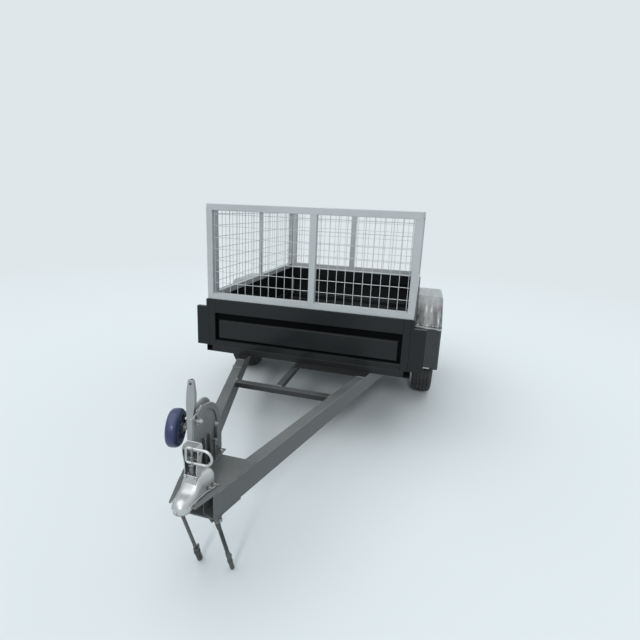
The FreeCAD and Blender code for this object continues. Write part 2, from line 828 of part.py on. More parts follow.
def tyre():
    """Right tyre: a turned section, upright at its beads and round at its shoulders."""
    half = tyre_width / 2
    seat = rim_radius + running_gap
    bead = half - rim_lip - 2 * sheet - running_gap
    bead_top = rim_radius + rim_lip + running_gap
    shoulder_x = half * tyre_shoulder_share
    shoulder = tyre_radius - tyre_crown
    side = (bead_top + shoulder) / 2
    edges = [
        Part.LineSegment(Vec(-bead, seat, 0), Vec(bead, seat, 0)),
        Part.LineSegment(Vec(bead, seat, 0), Vec(bead, bead_top, 0)),
        Part.Arc(Vec(bead, bead_top, 0), Vec(half, side, 0), Vec(shoulder_x, shoulder, 0)),
        Part.Arc(Vec(shoulder_x, shoulder, 0), Vec(0, tyre_radius, 0), Vec(-shoulder_x, shoulder, 0)),
        Part.Arc(Vec(-shoulder_x, shoulder, 0), Vec(-half, side, 0), Vec(-bead, bead_top, 0)),
        Part.LineSegment(Vec(-bead, bead_top, 0), Vec(-bead, seat, 0)),
    ]
    face = Part.Face(Part.Wire([edge.toShape() for edge in edges]))
    turned = face.revolve(Vec(0, 0, 0), X_AXIS, 360)
    turned.translate(Vec(tyre_x, axle_y, tyre_radius))
    return turned


def mudguard():
    """Right mudguard: a folded arch with a flat front face, closed towards the box by its edge."""
    x0 = box_half
    x1 = box_half + guard_width
    top = tyre_radius * 2 + guard_clear
    low = top - guard_front_height
    front = axle_y - guard_front_length
    rear = axle_y + guard_front_length
    flat = guard_front_length * guard_top_share
    shoulder = top - guard_front_height * guard_slope_share
    outer = [(front, low), (front, shoulder), (axle_y - flat, top), (axle_y + flat, top),
             (rear, shoulder), (rear, low)]
    inner = [(rear - guard_sheet, low), (rear - guard_sheet, shoulder - guard_sheet / 2),
             (axle_y + flat - guard_sheet / 4, top - guard_sheet),
             (axle_y - flat + guard_sheet / 4, top - guard_sheet),
             (front + guard_sheet, shoulder - guard_sheet / 2), (front + guard_sheet, low)]
    band = prism([Vec(x0, y, z) for y, z in outer + inner], Vec(guard_width, 0, 0))
    skirt_in = [(rear - guard_sheet - guard_lip, low),
                (rear - guard_sheet - guard_lip, shoulder - guard_lip / 2),
                (axle_y + flat - guard_lip / 4, top - guard_sheet - guard_lip),
                (axle_y - flat + guard_lip / 4, top - guard_sheet - guard_lip),
                (front + guard_sheet + guard_lip, shoulder - guard_lip / 2),
                (front + guard_sheet + guard_lip, low)]
    skirt = prism([Vec(x1 - guard_sheet, y, z) for y, z in outer + skirt_in], Vec(guard_sheet, 0, 0))
    return fused([band, skirt])


def mesh_frame(width, height, mid, mid_tube, starts):
    """A tube frame in the XZ plane, from X zero and Z zero, with one middle post and its wires.
    The starts say how far past each bay's left edge the first upright wire stands."""
    tube = cage_tube
    centre = tube / 2
    inner = height - tube
    bars = [block(0, width, 0, tube, 0, tube), block(0, width, 0, tube, inner, height),
            block(0, tube, 0, tube, tube, inner), block(width - tube, width, 0, tube, tube, inner),
            block(mid - mid_tube / 2, mid + mid_tube / 2, centre - mid_tube / 2, centre + mid_tube / 2,
                  tube, inner)]
    bays = [(tube, mid - mid_tube / 2), (mid + mid_tube / 2, width - tube)]
    for (low, high), start in zip(bays, starts):
        x = low + start
        while x < high - wire:
            bars.append(block(x - wire / 2, x + wire / 2, centre - wire_gap / 2 - wire,
                              centre - wire_gap / 2, centre, height - centre))
            x += wire_pitch_across
        z = wire_first_row
        while z < inner - wire:
            bars.append(block(low - wire_grip, high + wire_grip, centre + wire_gap / 2,
                              centre + wire_gap / 2 + wire, z - wire / 2, z + wire / 2))
            z += wire_pitch_up
    return fused(bars)


def cage_front():
    mid = cage_half + front_mid_offset
    frame = mesh_frame(2 * cage_half, cage_height, mid, cage_tube, (wire_near_corner, wire_from_post))
    frame.translate(Vec(-cage_half, cage_front_y, rim_top))
    return frame


def cage_left():
    length = cage_rear_y - cage_front_y - cage_tube
    frame = mesh_frame(length, cage_height, length / 2, side_mid_tube, (wire_from_post, wire_from_post))
    frame.rotate(Vec(0, 0, 0), Z_AXIS, -90)
    frame.translate(Vec(-cage_half, cage_rear_y, rim_top))
    return frame


def cage_gate():
    """The rear frame of the cage, a door with its hinge leaves on its left edge."""
    width = 2 * (cage_half - cage_tube - gate_gap)
    height = cage_height - 2 * gate_gap
    frame = mesh_frame(width, height, width / 2, cage_tube, (wire_from_post, wire_from_post))
    frame.translate(Vec(-width / 2, cage_rear_y - cage_tube, rim_top + 2 * gate_gap))
    return frame


def knuckle(z0, z1, leaf_side):
    """A hinge barrel about Z with its leaf lying behind it towards plus or minus X."""
    barrel = Part.makeCylinder(hinge_radius, z1 - z0, Vec(0, 0, z0))
    leaf = block(0, leaf_side * hinge_leaf, -hinge_radius, -hinge_radius + hinge_sheet, z0, z1)
    return barrel.fuse(leaf)


def fixed_knuckles():
    third = hinge_length / 3
    leaf = block(-leaf_root, -hinge_leaf, -hinge_radius, -hinge_radius + hinge_sheet, 0, hinge_length)
    pin = Part.makeCylinder(hinge_pin_radius, hinge_length)
    return fused([knuckle(0, third - slip, -1), knuckle(2 * third + slip, hinge_length, -1), leaf, pin])


def moving_knuckle():
    third = hinge_length / 3
    middle = knuckle(third, 2 * third, 1)
    return middle.cut(Part.makeCylinder(hinge_pin_radius + running_fit, hinge_length)).removeSplitter()


def gate_hinge_heights():
    low = rim_top + 2 * cage_tube
    high = cage_top - 2 * cage_tube - hinge_length
    return [low + (high - low) * index / (gate_hinge_count - 1) for index in range(gate_hinge_count)]


def on_gate(shape):
    """Copies of a hinge piece up the left edge of the cage gate."""
    copies = []
    for height in gate_hinge_heights():
        piece = shape.copy()
        piece.translate(Vec(gate_axis_x, cage_rear_y + hinge_radius, height))
        copies.append(piece)
    return group(copies)


def on_tailgate(shape):
    """Copies of a hinge piece along the lower edge of the tailgate, fixed leaf downwards."""
    copies = []
    for index in range(tailgate_hinge_count):
        share = 2 * index / (tailgate_hinge_count - 1) - 1
        piece = shape.copy()
        piece.rotate(Vec(0, 0, 0), Y_AXIS, -90)
        piece.translate(Vec(share * tailgate_hinge_reach + hinge_length / 2, rear_y + hinge_radius,
                            tailgate_axis_z))
        copies.append(piece)
    return group(copies)


def tailgate():
    half = box_half - post_width - gate_gap
    return turned_wall(2 * half, 180, Vec(half, rear_y, box_base + gate_gap), wall_height - gate_gap)


def tail_lamps():
    x1 = box_half + wing_width
    z1 = box_base
    lamps = []
    for side in (-1, 1):
        lamps.append(block(side * (x1 - lamp_width), side * x1, rear_y - lamp_depth, rear_y,
                           z1 - lamp_height - member, z1 - member))
    return group(lamps)


def write_parts():
    os.makedirs("parts", exist_ok=True)
    parts = {
        "floor_plate": floor_plate(),
        "front_wall": front_wall(),
        "left_wall": left_wall(),
        "right_wall": mirrored(left_wall()),
        "front_post_left": mirrored(front_post()),
        "front_post_right": front_post(),
        "rear_post_left": mirrored(corner_post(rear_y - post_width)),
        "rear_post_right": corner_post(rear_y - post_width),
        "cross_members": cross_members(),
        "side_rail_left": side_rail(),
        "side_rail_right": mirrored(side_rail()),
        "drawbar_rail_left": drawbar_rail(),
        "drawbar_rail_right": mirrored(drawbar_rail()),
        "drawbar_brace": drawbar_brace(),
        "drawbar_spine": drawbar_spine(),
        "tongue_plate": tongue_plate(),
        "lug_plate": lug_plate(),
        "rail_gussets": rail_gussets(),
        "parking_leg_left": parking_leg(-leg_left_side),
        "parking_leg_right": parking_leg(leg_right_side),
        "coupling_body": coupling_body(),
        "coupling_latch": latch_column(),
        "coupling_handle": latch_loop(),
        "brake_bracket": brake_bracket(),
        "brake_lever": brake_lever(),
        "jockey_clamp": jockey_clamp(),
        "jockey_leg": jockey_leg(),
        "jockey_inner": jockey_inner(),
        "jockey_wheel": jockey_wheel(),
        "axle": axle(),
        "leaf_spring_left": leaf_spring(-spring_x),
        "leaf_spring_right": leaf_spring(spring_x),
        "spring_hangers": hangers(),
        "wheel_disc_left": mirrored(wheel_disc()),
        "wheel_disc_right": wheel_disc(),
        "tyre_left": mirrored(tyre()),
        "tyre_right": tyre(),
        "mudguard_left": mirrored(mudguard()),
        "mudguard_right": mudguard(),
        "cage_front": cage_front(),
        "cage_left": cage_left(),
        "cage_right": mirrored(cage_left()),
        "cage_gate": cage_gate(),
        "gate_hinge_posts": on_gate(fixed_knuckles()),
        "gate_hinge_leaves": on_gate(moving_knuckle()),
        "tailgate": tailgate(),
        "tailgate_hinge_posts": on_tailgate(fixed_knuckles()),
        "tailgate_hinge_leaves": on_tailgate(moving_knuckle()),
        "tail_lamps": tail_lamps(),
    }
    for name, shape in parts.items():
        shape.exportStep("parts/" + name + ".step")
        print(name, shape.isValid(), len(shape.Solids), round(shape.Volume / 1000, 1))


write_parts()
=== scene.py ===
# %% [markdown]
# # A utility trailer with a mesh cage
# A small box trailer is bent sheet steel on a welded frame: a black load box, a light grey mesh cage,
# a grey drawbar with bright zinc fittings at its nose, and two wheels under folded mudguards.
# The solid model is loaded first. It fixes every place and size, and the pieces below dress it.
# %% Load the solid model
import bpy
import bmesh
import json
import math
from mathutils import Matrix, Vector, noise


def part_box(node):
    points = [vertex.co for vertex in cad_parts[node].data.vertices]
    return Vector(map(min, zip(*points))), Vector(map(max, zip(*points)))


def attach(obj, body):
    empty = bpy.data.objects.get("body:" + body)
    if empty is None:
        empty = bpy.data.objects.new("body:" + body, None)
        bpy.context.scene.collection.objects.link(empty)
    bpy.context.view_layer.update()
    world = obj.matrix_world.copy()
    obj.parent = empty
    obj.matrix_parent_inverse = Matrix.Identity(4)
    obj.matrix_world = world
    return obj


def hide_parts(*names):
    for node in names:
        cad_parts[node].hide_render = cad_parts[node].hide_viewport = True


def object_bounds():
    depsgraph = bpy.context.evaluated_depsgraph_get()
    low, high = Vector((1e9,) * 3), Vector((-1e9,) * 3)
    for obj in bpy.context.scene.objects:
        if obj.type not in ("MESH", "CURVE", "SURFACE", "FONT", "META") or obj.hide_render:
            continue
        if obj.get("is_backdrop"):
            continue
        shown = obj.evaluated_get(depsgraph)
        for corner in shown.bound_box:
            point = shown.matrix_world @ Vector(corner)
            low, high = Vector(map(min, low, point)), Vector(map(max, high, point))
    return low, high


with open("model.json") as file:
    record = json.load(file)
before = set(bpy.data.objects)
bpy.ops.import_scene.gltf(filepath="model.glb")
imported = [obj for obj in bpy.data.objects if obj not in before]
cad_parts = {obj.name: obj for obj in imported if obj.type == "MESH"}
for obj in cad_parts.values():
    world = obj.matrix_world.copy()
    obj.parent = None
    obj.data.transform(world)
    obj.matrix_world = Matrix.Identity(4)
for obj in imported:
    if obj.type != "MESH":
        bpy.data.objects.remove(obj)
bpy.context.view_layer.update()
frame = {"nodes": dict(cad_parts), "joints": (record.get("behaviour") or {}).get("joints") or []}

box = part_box

# %% [markdown]
# ## The camera
# The photograph was taken from the front right, a little higher than the cage. Its view was worked out
# from the lines of the box and the drawbar, so the camera's place is measured from the top front edge
# of the box. A camera turns in three ways: to the side, down, and a slight lean. The lean is small, but
# without it the long straight tubes would all miss their places in the picture.
# %% Camera
image_size = 640
focal_pixels = 402.94
centre_across, centre_down = 314.23, 298.64
side_turn, down_turn, lean = -0.2622, 0.22346, 0.04002
camera_spot = Vector((0.65838, -2.21953, 0.59099))
sensor = 36


def turn(angle, first, second):
    """A rotation that mixes two of the three axes."""
    matrix = Matrix.Identity(3)
    matrix[first][first] = matrix[second][second] = math.cos(angle)
    matrix[first][second] = -math.sin(angle)
    matrix[second][first] = math.sin(angle)
    return matrix


front_low, front_high = box("front_wall")
to_picture = Matrix(((1, 0, 0), (0, 0, -1), (0, 1, 0)))
to_picture = turn(lean, 0, 1) @ turn(down_turn, 1, 2) @ turn(side_turn, 0, 2) @ to_picture
right, down, ahead = to_picture
camera_data = bpy.data.cameras.new("photo_view")
camera = bpy.data.objects.new("photo_view", camera_data)
bpy.context.scene.collection.objects.link(camera)
place = Matrix.Translation(Vector((0, front_low.y, front_high.z)) + camera_spot)
camera.matrix_world = place @ Matrix((right, -down, -ahead)).transposed().to_4x4()
camera_data.sensor_width = sensor
camera_data.lens = focal_pixels / image_size * sensor
camera_data.shift_x = (image_size / 2 - centre_across) / image_size
camera_data.shift_y = (centre_down - image_size / 2) / image_size
camera_data.clip_end = 300
bpy.context.scene.camera = camera
print("the camera stands at", [round(value, 3) for value in camera.matrix_world.translation])

# %% [markdown]
# ## Sums on sockets
# A finish that varies over a surface is a sum of small effects: grain, dust, scuffs. Blender adds them
# with one node for each plus or times sign. Written out in full that hides the idea, so a small class
# wraps a socket and lets Python's own signs add the nodes. Colours are mixed with a Mix node instead,
# because a Math node would turn them grey.
# %% A socket that does sums
class Level:
    """A number on a node's socket. The signs + - * add Math nodes to its finish."""

    def __init__(self, finish, socket):
        self.finish, self.socket = finish, socket

    def sum(self, operation, *values):
        return self.finish.sum(operation, *values)

    def __add__(self, other):
        return self.sum("ADD", self, other)

    def __sub__(self, other):
        return self.sum("SUBTRACT", self, other)

    def __mul__(self, other):
        return self.sum("MULTIPLY", self, other)

    def __rsub__(self, other):
        return self.sum("SUBTRACT", other, self)

    def size(self):
        return self.sum("ABSOLUTE", self)

    def above(self, edge, width=0.1):
        """0 below the edge and 1 above it, with a soft step."""
        return self.finish.node("ShaderNodeMapRange", {"interpolation_type": "SMOOTHSTEP"},
                                {"Value": self, "From Min": edge - width, "From Max": edge + width})

    __radd__, __rmul__ = __add__, __mul__


def opaque(color):
    """A colour of three numbers with full cover added; a colour on a socket passes through."""
    return color if isinstance(color, Level) else (*color, 1)


class Finish:
    """A material with its one shader and its slot, and a method that adds any other node."""

    def __init__(self, name, slot="", **sockets):
        self.slot = slot
        self.material = bpy.data.materials.new(name)
        self.material.use_nodes = True
        self.tree = self.material.node_tree
        self.shader = self.tree.nodes["Principled BSDF"]
        self.set(**sockets)
        self.where = self.node("ShaderNodeTexCoord", {}, {}, "Object")

    def node(self, kind, settings, sockets, output=0):
        made = self.tree.nodes.new(kind)
        for name, value in settings.items():
            setattr(made, name, value)
        for name, value in sockets.items():
            if isinstance(value, Level):
                self.tree.links.new(value.socket, made.inputs[name])
            else:
                made.inputs[name].default_value = value
        return Level(self, made.outputs[output])

    def sum(self, operation, *values):
        return self.node("ShaderNodeMath", {"operation": operation}, dict(enumerate(values)))

    def set(self, **sockets):
        for name, value in sockets.items():
            target = self.shader.inputs[name.replace("_", " ")]
            if isinstance(value, Level):
                self.tree.links.new(value.socket, target)
            else:
                target.default_value = value

    def grain(self, scale, detail=2.0, stretch=(1, 1, 1), rough=0.5):
        """Cloudy noise with a level of about 0.5, finer for a larger scale."""
        spot = self.node("ShaderNodeMapping", {}, {"Vector": self.where, "Scale": stretch})
        return self.node("ShaderNodeTexNoise", {}, {"Vector": spot, "Scale": scale, "Detail": detail,
                                                    "Roughness": rough})

    def cells(self, scale, output="Distance"):
        return self.node("ShaderNodeTexVoronoi", {}, {"Vector": self.where, "Scale": scale}, output)

    def mix(self, share, first, second):
        """The first colour where the share is 0 and the second where it is 1."""
        sockets = {0: share, 6: opaque(first), 7: opaque(second)}
        return self.node("ShaderNodeMix", {"data_type": "RGBA"}, sockets, 2)

    def facing(self, axis):
        """How much the surface faces along X, Y or Z, from -1 to 1."""
        normal = self.node("ShaderNodeNewGeometry", {}, {}, "Normal")
        return self.node("ShaderNodeSeparateXYZ", {}, {0: normal}, axis)

    def along(self, axis):
        """The place along X, Y or Z, in metres."""
        return self.node("ShaderNodeSeparateXYZ", {}, {0: self.where}, axis)

    def bump(self, height, depth, strength=1.0):
        sockets = {"Height": height, "Distance": depth, "Strength": strength}
        self.set(Normal=self.node("ShaderNodeBump", {}, sockets))


def grey(level, tint=(1, 1, 1)):
    """One level in all three colours, or a colour made brighter or darker."""
    return tuple(level * share for share in tint)


print("sums on sockets are ready")

# %% [markdown]
# ## Paint
# Cheap trailers are powder coated or sprayed. Such a skin has three things that a flat colour lacks: a
# fine orange peel that breaks up reflections, dust on whatever faces up, and thin scuffs. On the brace
# and the drawbar the pale dust is also painted top light, which makes their tops paler than their sides.
# Edges that face partly up get a painted highlight, and the grooves round the pressed panels of the walls
# get painted shade: they are made near black and matt. One function makes all the paints, so box,
# drawbar and cage look like one workshop's.
# %% Paints
# The webs round the panels lie this far back, and painted shade makes them near black.
web_setback = 0.018
painted_groove_shade_color = (0.002, 0.0022, 0.0025)


def painted_groove_shade_mask(made):
    """Where painted shade goes: 1 on the webs that lie back from the faces of the four walls, round their
    panels.
    """
    across = box("rear_post_right")[1].x - made.along("X").size()
    front, rear = made.along("Y") - front_low.y, box("tailgate")[1].y - made.along("Y")
    marks = [1 - (gap - web_setback).size().above(0.0009, 0.0002) for gap in (across, front, rear)]
    return made.sum("MAXIMUM", made.sum("MAXIMUM", *marks[:2]), marks[2])


def paint(name, slot, color, rough, dust_and_top_light, dust_and_top_light_color, scuff, metal=0.0, edge_highlight=0.35, hollow=None):
    """A paint with roughness, dust that also paints top light, scuffs, metal that shines through, a painted
    edge highlight and painted groove shade.
    """
    made = Finish(name, slot, Metallic=metal)
    cloud, fine = made.grain(3.5, 4), made.grain(60, 3)
    # Dust where the surface faces up. With a pale dust colour it is also painted top light.
    dust_and_top_light_mask = made.facing("Z").above(0.55, 0.35) * cloud.above(0.42, 0.25) * dust_and_top_light
    dust_and_top_light_mask += fine.above(0.6, 0.12) * (dust_and_top_light * 0.12)
    streak = made.grain(14, 4, (1, 1, 0.12), 0.65).above(0.66, 0.05) * scuff
    slope = made.facing("Z")
    # Painted highlight: edges that face partly up are mixed to the paler colour.
    edge = slope.above(0.3, 0.05) * (1 - slope.above(0.93, 0.03)) * edge_highlight
    wear_and_highlight_color = tuple(min(0.62, c * 1.8 + 0.03) for c in color)
    dusty_and_top_lit = made.mix(dust_and_top_light_mask, made.mix(cloud, grey(0.88, color), grey(1.14, color)), dust_and_top_light_color)
    scuffed_and_groove_shaded = made.mix(streak, dusty_and_top_lit, wear_and_highlight_color)
    if hollow:
        # Painted shade: the groove webs are mixed to near black and lose their coat.
        shade = hollow(made)
        scuffed_and_groove_shaded = made.mix(shade, scuffed_and_groove_shaded, painted_groove_shade_color)
        made.set(Coat_Weight=0.5 - shade * 0.5, Coat_Roughness=0.26)
    made.set(Base_Color=made.mix(edge, scuffed_and_groove_shaded, wear_and_highlight_color),
             Roughness=dust_and_top_light_mask * 0.25 + cloud * 0.12 + streak * 0.15 + rough)
    made.bump(made.grain(420, 2) + cloud * 0.6, 0.00025, 0.35)
    return made


black_paint = paint("black_paint", "painted_black", (0.0092, 0.0108, 0.0116), 0.3,
                    0.12, (0.05, 0.054, 0.057), 0.08, hollow=painted_groove_shade_mask)
black_paint.set(Specular_IOR_Level=0.03)
# On the drawbar the pale dust paints its top lighter than its sides, and the strong edge term paints a
# bright line along its top edges.
grey_paint = paint("grey_paint", "painted_grey", (0.098, 0.103, 0.103), 0.36,
                   0.35, (0.25, 0.26, 0.26), 0.3, 0.2, 0.8)
cage_paint = paint("cage_paint", "cage_silver", (0.42, 0.445, 0.455), 0.42,
                   0.2, (0.52, 0.55, 0.56), 0.12, 0.1)
wire_paint = paint("wire_paint", "cage_silver", (0.5, 0.53, 0.54), 0.38, 0.1, (0.58, 0.6, 0.6), 0.1, 0.2)
chassis_paint = paint("chassis_paint", "painted_black", (0.01, 0.011, 0.012), 0.42,
                      0.25, (0.06, 0.059, 0.056), 0.25)
chassis_paint.set(Specular_IOR_Level=0.3)
# The brace's pale dust paints its top lighter than its black front: dust and painted top light at once.
brace_paint = paint("brace_paint", "painted_black", (0.016, 0.018, 0.019), 0.34,
                    0.45, (0.12, 0.125, 0.125), 0.3)
wheel_paint = paint("wheel_paint", "wheel_silver", (0.5, 0.51, 0.53), 0.3,
                    0.2, (0.32, 0.3, 0.28), 0.2, 0.55)
spring_steel = paint("spring_steel", "steel_dark", (0.022, 0.021, 0.02), 0.5,
                     0.4, (0.09, 0.075, 0.06), 0.5, 0.4)
print("eight paints")

# %% [markdown]
# ## Zinc, rubber, plastic and lenses
# Zinc plate is metal, so its colour lies in its reflections. The plating is cloudy rather than grained,
# so broad soft patches change its roughness and carry a grey stain, with a few thin scratches. A sharper
# pattern would look like crushed foil. Rubber is nearly black and dull, with grey dust. The blue wheel
# is moulded plastic, and the lamps have glossy lenses with small prisms in them.
# %% Zinc, rubber, plastic and lenses
def zinc(name, level, rough, stain=0.35, slot="zinc"):
    made = Finish(name, slot, Metallic=1.0)
    cloud = made.grain(26, 4, rough=0.6)
    patch = made.grain(7, 3).above(0.55, 0.2)
    scratch = made.grain(60, 3, (1, 1, 0.06), 0.7).above(0.7, 0.03)
    plate = made.mix(cloud, grey(level * 0.86, (0.985, 1, 1.01)), grey(level * 1.1))
    stained = made.mix(patch * stain, plate, grey(level * 0.42, (1, 0.985, 0.95)))
    made.set(Base_Color=made.mix(scratch * 0.4, stained, grey(min(0.95, level * 1.35))),
             Roughness=cloud * 0.16 + patch * 0.14 + scratch * 0.1 + rough)
    made.bump(cloud + made.grain(200, 2) * 0.2, 0.0002, 0.35)
    return made


bright_zinc = zinc("bright_zinc", 0.6, 0.26)
satin_zinc = zinc("satin_zinc", 0.36, 0.32, 0.2)
lever_zinc = zinc("lever_zinc", 0.4, 0.36, 0.15)
dull_zinc = zinc("dull_zinc", 0.27, 0.34)
leg_steel = zinc("leg_steel", 0.13, 0.34, 0.6, "steel_dark")
dark_steel = zinc("dark_steel", 0.07, 0.38, slot="steel_dark")


def plastic(name, slot, pattern, fine, depth, strength, low, high, rough, coat):
    """Two colours that follow one pattern, which also varies the roughness, and a finer one for bumps."""
    made = Finish(name, slot, Coat_Weight=coat)
    level = made.grain(*pattern)
    made.set(Base_Color=made.mix(level, low, high), Roughness=level * 0.2 + rough)
    made.bump(made.grain(*fine) if fine else level, depth, strength)
    return made


def lens_finish(name, low, high, strength=0.7, ripple=0.0):
    """A glossy lens of small cells between two colours."""
    made = Finish(name, "lamp_red", Roughness=0.12, Coat_Weight=0.6)
    prism = made.cells(240)
    made.set(Base_Color=made.mix(prism, low, high))
    if ripple:
        made.set(Roughness=prism * ripple + 0.1)
    made.bump(prism, 0.0008, strength)
    return made


blue_plastic = plastic("blue_plastic", "blue_plastic", (30, 3), (180, 2), 0.0003, 0.4,
                       (0.014, 0.025, 0.078), (0.024, 0.04, 0.118), 0.28, 0.15)
lamp_black = plastic("lamp_black", "painted_black", (320, 2), None, 0.0003, 0.5,
                     (0.012, 0.012, 0.013), (0.03, 0.03, 0.031), 0.4, 0.1)
pale_strip = plastic("pale_strip", "guard_film", (40, 3), (160, 2), 0.0002, 0.3,
                     (0.34, 0.35, 0.35), (0.55, 0.56, 0.56), 0.3, 0.3)
red_lens = lens_finish("red_lens", (0.42, 0.008, 0.006), (0.62, 0.03, 0.02))
amber_lens = lens_finish("amber_lens", (0.75, 0.2, 0.01), (0.85, 0.32, 0.03))
clear_lens = lens_finish("clear_lens", (0.5, 0.51, 0.52), (0.75, 0.76, 0.77), 0.6, 0.1)
rubber = Finish("rubber", "tyre")
dirt = rubber.grain(18, 5, rough=0.7)
rubber.set(Base_Color=rubber.mix(dirt.above(0.55, 0.2), (0.018, 0.018, 0.019), (0.052, 0.05, 0.047)),
           Roughness=dirt * 0.2 + 0.68)
rubber.bump(rubber.grain(240, 3), 0.0003, 0.5)
cast_iron = Finish("cast_iron", "steel_dark", Metallic=0.6)
rust = cast_iron.grain(24, 5, rough=0.7).above(0.56, 0.1)
cast_iron.set(Base_Color=cast_iron.mix(rust * 0.6, (0.045, 0.043, 0.041), (0.11, 0.055, 0.03)),
              Roughness=rust * 0.25 + 0.5)
cast_iron.bump(cast_iron.grain(150, 3), 0.0004, 0.5)
print("six zincs, rubber, three plastics, iron and three lenses")

# %% [markdown]
# ## Guards under film
# The mudguards are black like the box, but they still wear the clear film of their delivery. On top the
# film lies as a smooth milky grey skin. Lower down it has come loose and hangs in narrow folds, so dark
# paint shows between ridges that are painted pale as a highlight. Noise that is squeezed across the guard
# and drawn out along it gives both from one pattern: its high spots are the gaps and its low spots the
# ridges. A thin pale band along the film's edge is a painted highlight too. The larger folds are real
# geometry, made with the guard further down.
# %% Guards under film
guard_film = Finish("guard_film", "guard_film", Coat_Weight=0.5, Coat_Roughness=0.15)
guard_low, guard_high = box("mudguard_right")
film_edge = guard_high.z - 0.175
film_wave, frayed_depth = 0.05, 0.115
veil = guard_film.grain(16, 3)
fold = guard_film.grain(30, 3, (1, 0.13, 0.13), 0.55)
height = guard_film.along("Z") + (guard_film.grain(7, 3) - 0.5) * film_wave
covered = height.above(film_edge, 0.004)
# Painted highlight: a thin pale band just above the film's edge.
rim_light = covered * (1 - height.above(film_edge + 0.01, 0.004))
loose = 1 - height.above(film_edge + frayed_depth, 0.035)
gap = fold.above(0.5, 0.05) * (loose * 0.9 + 0.06)
ridge = (1 - fold.above(0.4, 0.02)) * (loose * 0.75 + 0.2)
film_tint = (0.97, 1, 1.02)
milky = guard_film.mix(veil, grey(0.19, film_tint), grey(0.3, film_tint))
# Painted highlight: the ridges and the edge band are mixed to pale grey.
folded = guard_film.mix(ridge, guard_film.mix(gap, milky, grey(0.04)), grey(0.6))
edged = guard_film.mix(rim_light * 0.8, folded, grey(0.6))
guard_film.set(Base_Color=guard_film.mix(covered, (0.0075, 0.0092, 0.0102), edged),
               Roughness=veil * 0.2 + 0.2)
relief = covered * (ridge * 0.4 + veil * 0.6 - gap * 0.3)
guard_film.bump(relief + guard_film.grain(300, 2) * 0.02, 0.003, 0.5)
print("film from", round(film_edge, 3), "to", round(guard_high.z, 3), "metres up")



# %% [markdown]
# ## Light and floor
# The trailer stands on a pale floor under soft studio light. In the photograph the drawbar's shadow
# lies close beside it, on its far side, so the sharpest lamp shines from behind the camera. A broad one
# overhead and a weak one from behind fill the rest. Lamps close by would light the floor in pools, so
# these are far away. The floor fades to the colour of the wall in the distance, so that no horizon shows.
# %% Light and floor
bpy.context.scene.view_settings.view_transform = "Standard"
wall_color, ambient = (0.735, 0.795, 0.82), 0.56
world = bpy.data.worlds.new("studio")
bpy.context.scene.world = world
world.use_nodes = True
nodes, link = world.node_tree.nodes, world.node_tree.links.new
sky, seen = nodes["Background"], nodes.new("ShaderNodeBackground")
for light in (sky, seen):
    light.inputs["Color"].default_value = opaque(wall_color)
sky.inputs["Strength"].default_value = ambient
path, choice = nodes.new("ShaderNodeLightPath"), nodes.new("ShaderNodeMixShader")
shown = path.outputs["Is Camera Ray"]
for ray in ("Is Glossy Ray", "Is Transmission Ray"):
    either = nodes.new("ShaderNodeMath")
    either.operation = "MAXIMUM"
    link(shown, either.inputs[0])
    link(path.outputs[ray], either.inputs[1])
    shown = either.outputs[0]
for i, source in enumerate((shown, sky.outputs[0], seen.outputs[0])):
    link(source, choice.inputs[i])
link(choice.outputs[0], nodes["World Output"].inputs[0])


def lamp(name, aim, spread, strength):
    """A broad lamp so far away that its light is even, given by the way that the light travels."""
    data = bpy.data.lights.new(name, "SUN")
    data.angle, data.energy = math.radians(spread), strength
    made = bpy.data.objects.new(name, data)
    bpy.context.scene.collection.objects.link(made)
    made.rotation_euler = Vector(aim).to_track_quat("-Z", "Y").to_euler()


lamp("key_lamp", (-0.1, 1.0, -0.55), 9, 0.85)
lamp("top_lamp", (0.3, 0.2, -1.0), 75, 1.55)
lamp("back_lamp", (-0.5, -0.7, -0.8), 60, 0.2)

floor_shape = bmesh.new()
floor_radius = 80.0
bmesh.ops.create_circle(floor_shape, cap_ends=True, segments=48, radius=floor_radius)
floor_data = bpy.data.meshes.new("studio_floor")
floor_shape.to_mesh(floor_data)
floor = bpy.data.objects.new("studio_floor", floor_data)
bpy.context.scene.collection.objects.link(floor)
floor_finish = Finish("studio_floor", Roughness=1.0, Specular_IOR_Level=0.0)
far = floor_finish.node("ShaderNodeVectorMath", {"operation": "LENGTH"}, {0: floor_finish.where}, 1)
haze = far.above(5.5, 3.0)
floor_finish.set(Base_Color=floor_finish.mix(haze, (0.735, 0.79, 0.812), grey(0)),
                 Emission_Color=floor_finish.mix(haze, grey(0), wall_color), Emission_Strength=1.0)
floor_data.materials.append(floor_finish.material)
floor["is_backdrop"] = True
print("three lamps over a floor of radius", floor_radius)

# %% [markdown]
# ## A workbench of shapes
# Most of a trailer is tube, plate, rod and bolt. Each is a few lines of mesh code, so they are kept in
# one class: it gathers shapes in one mesh and then hangs the result on a body of the solid model. The
# bevel at the end matters most for looks, because real folded and sawn edges always catch some light.
# %% Shapes
def mm(*pairs):
    """Pairs written in millimetres, given back in metres."""
    return [(a / 1000, b / 1000) for a, b in pairs]


def level_to(way):
    """The rotation that lays the Z axis along a way."""
    return Vector(way).to_track_quat("Z", "Y").to_matrix()


def ring(middle, tilt, radius, sides, flat=1.0):
    """A circle of points, or a flattened one, round a middle."""
    angles = (2 * math.pi * i / sides for i in range(sides))
    return [middle + tilt @ Vector((math.cos(a) * radius, math.sin(a) * radius * flat, 0)) for a in angles]


def round_edges(made, width, angle):
    """Rounds the edges that are sharper than an angle in radians."""
    edge = made.modifiers.new("edges", "BEVEL")
    edge.width, edge.segments, edge.limit_method, edge.angle_limit = width, 2, "ANGLE", angle


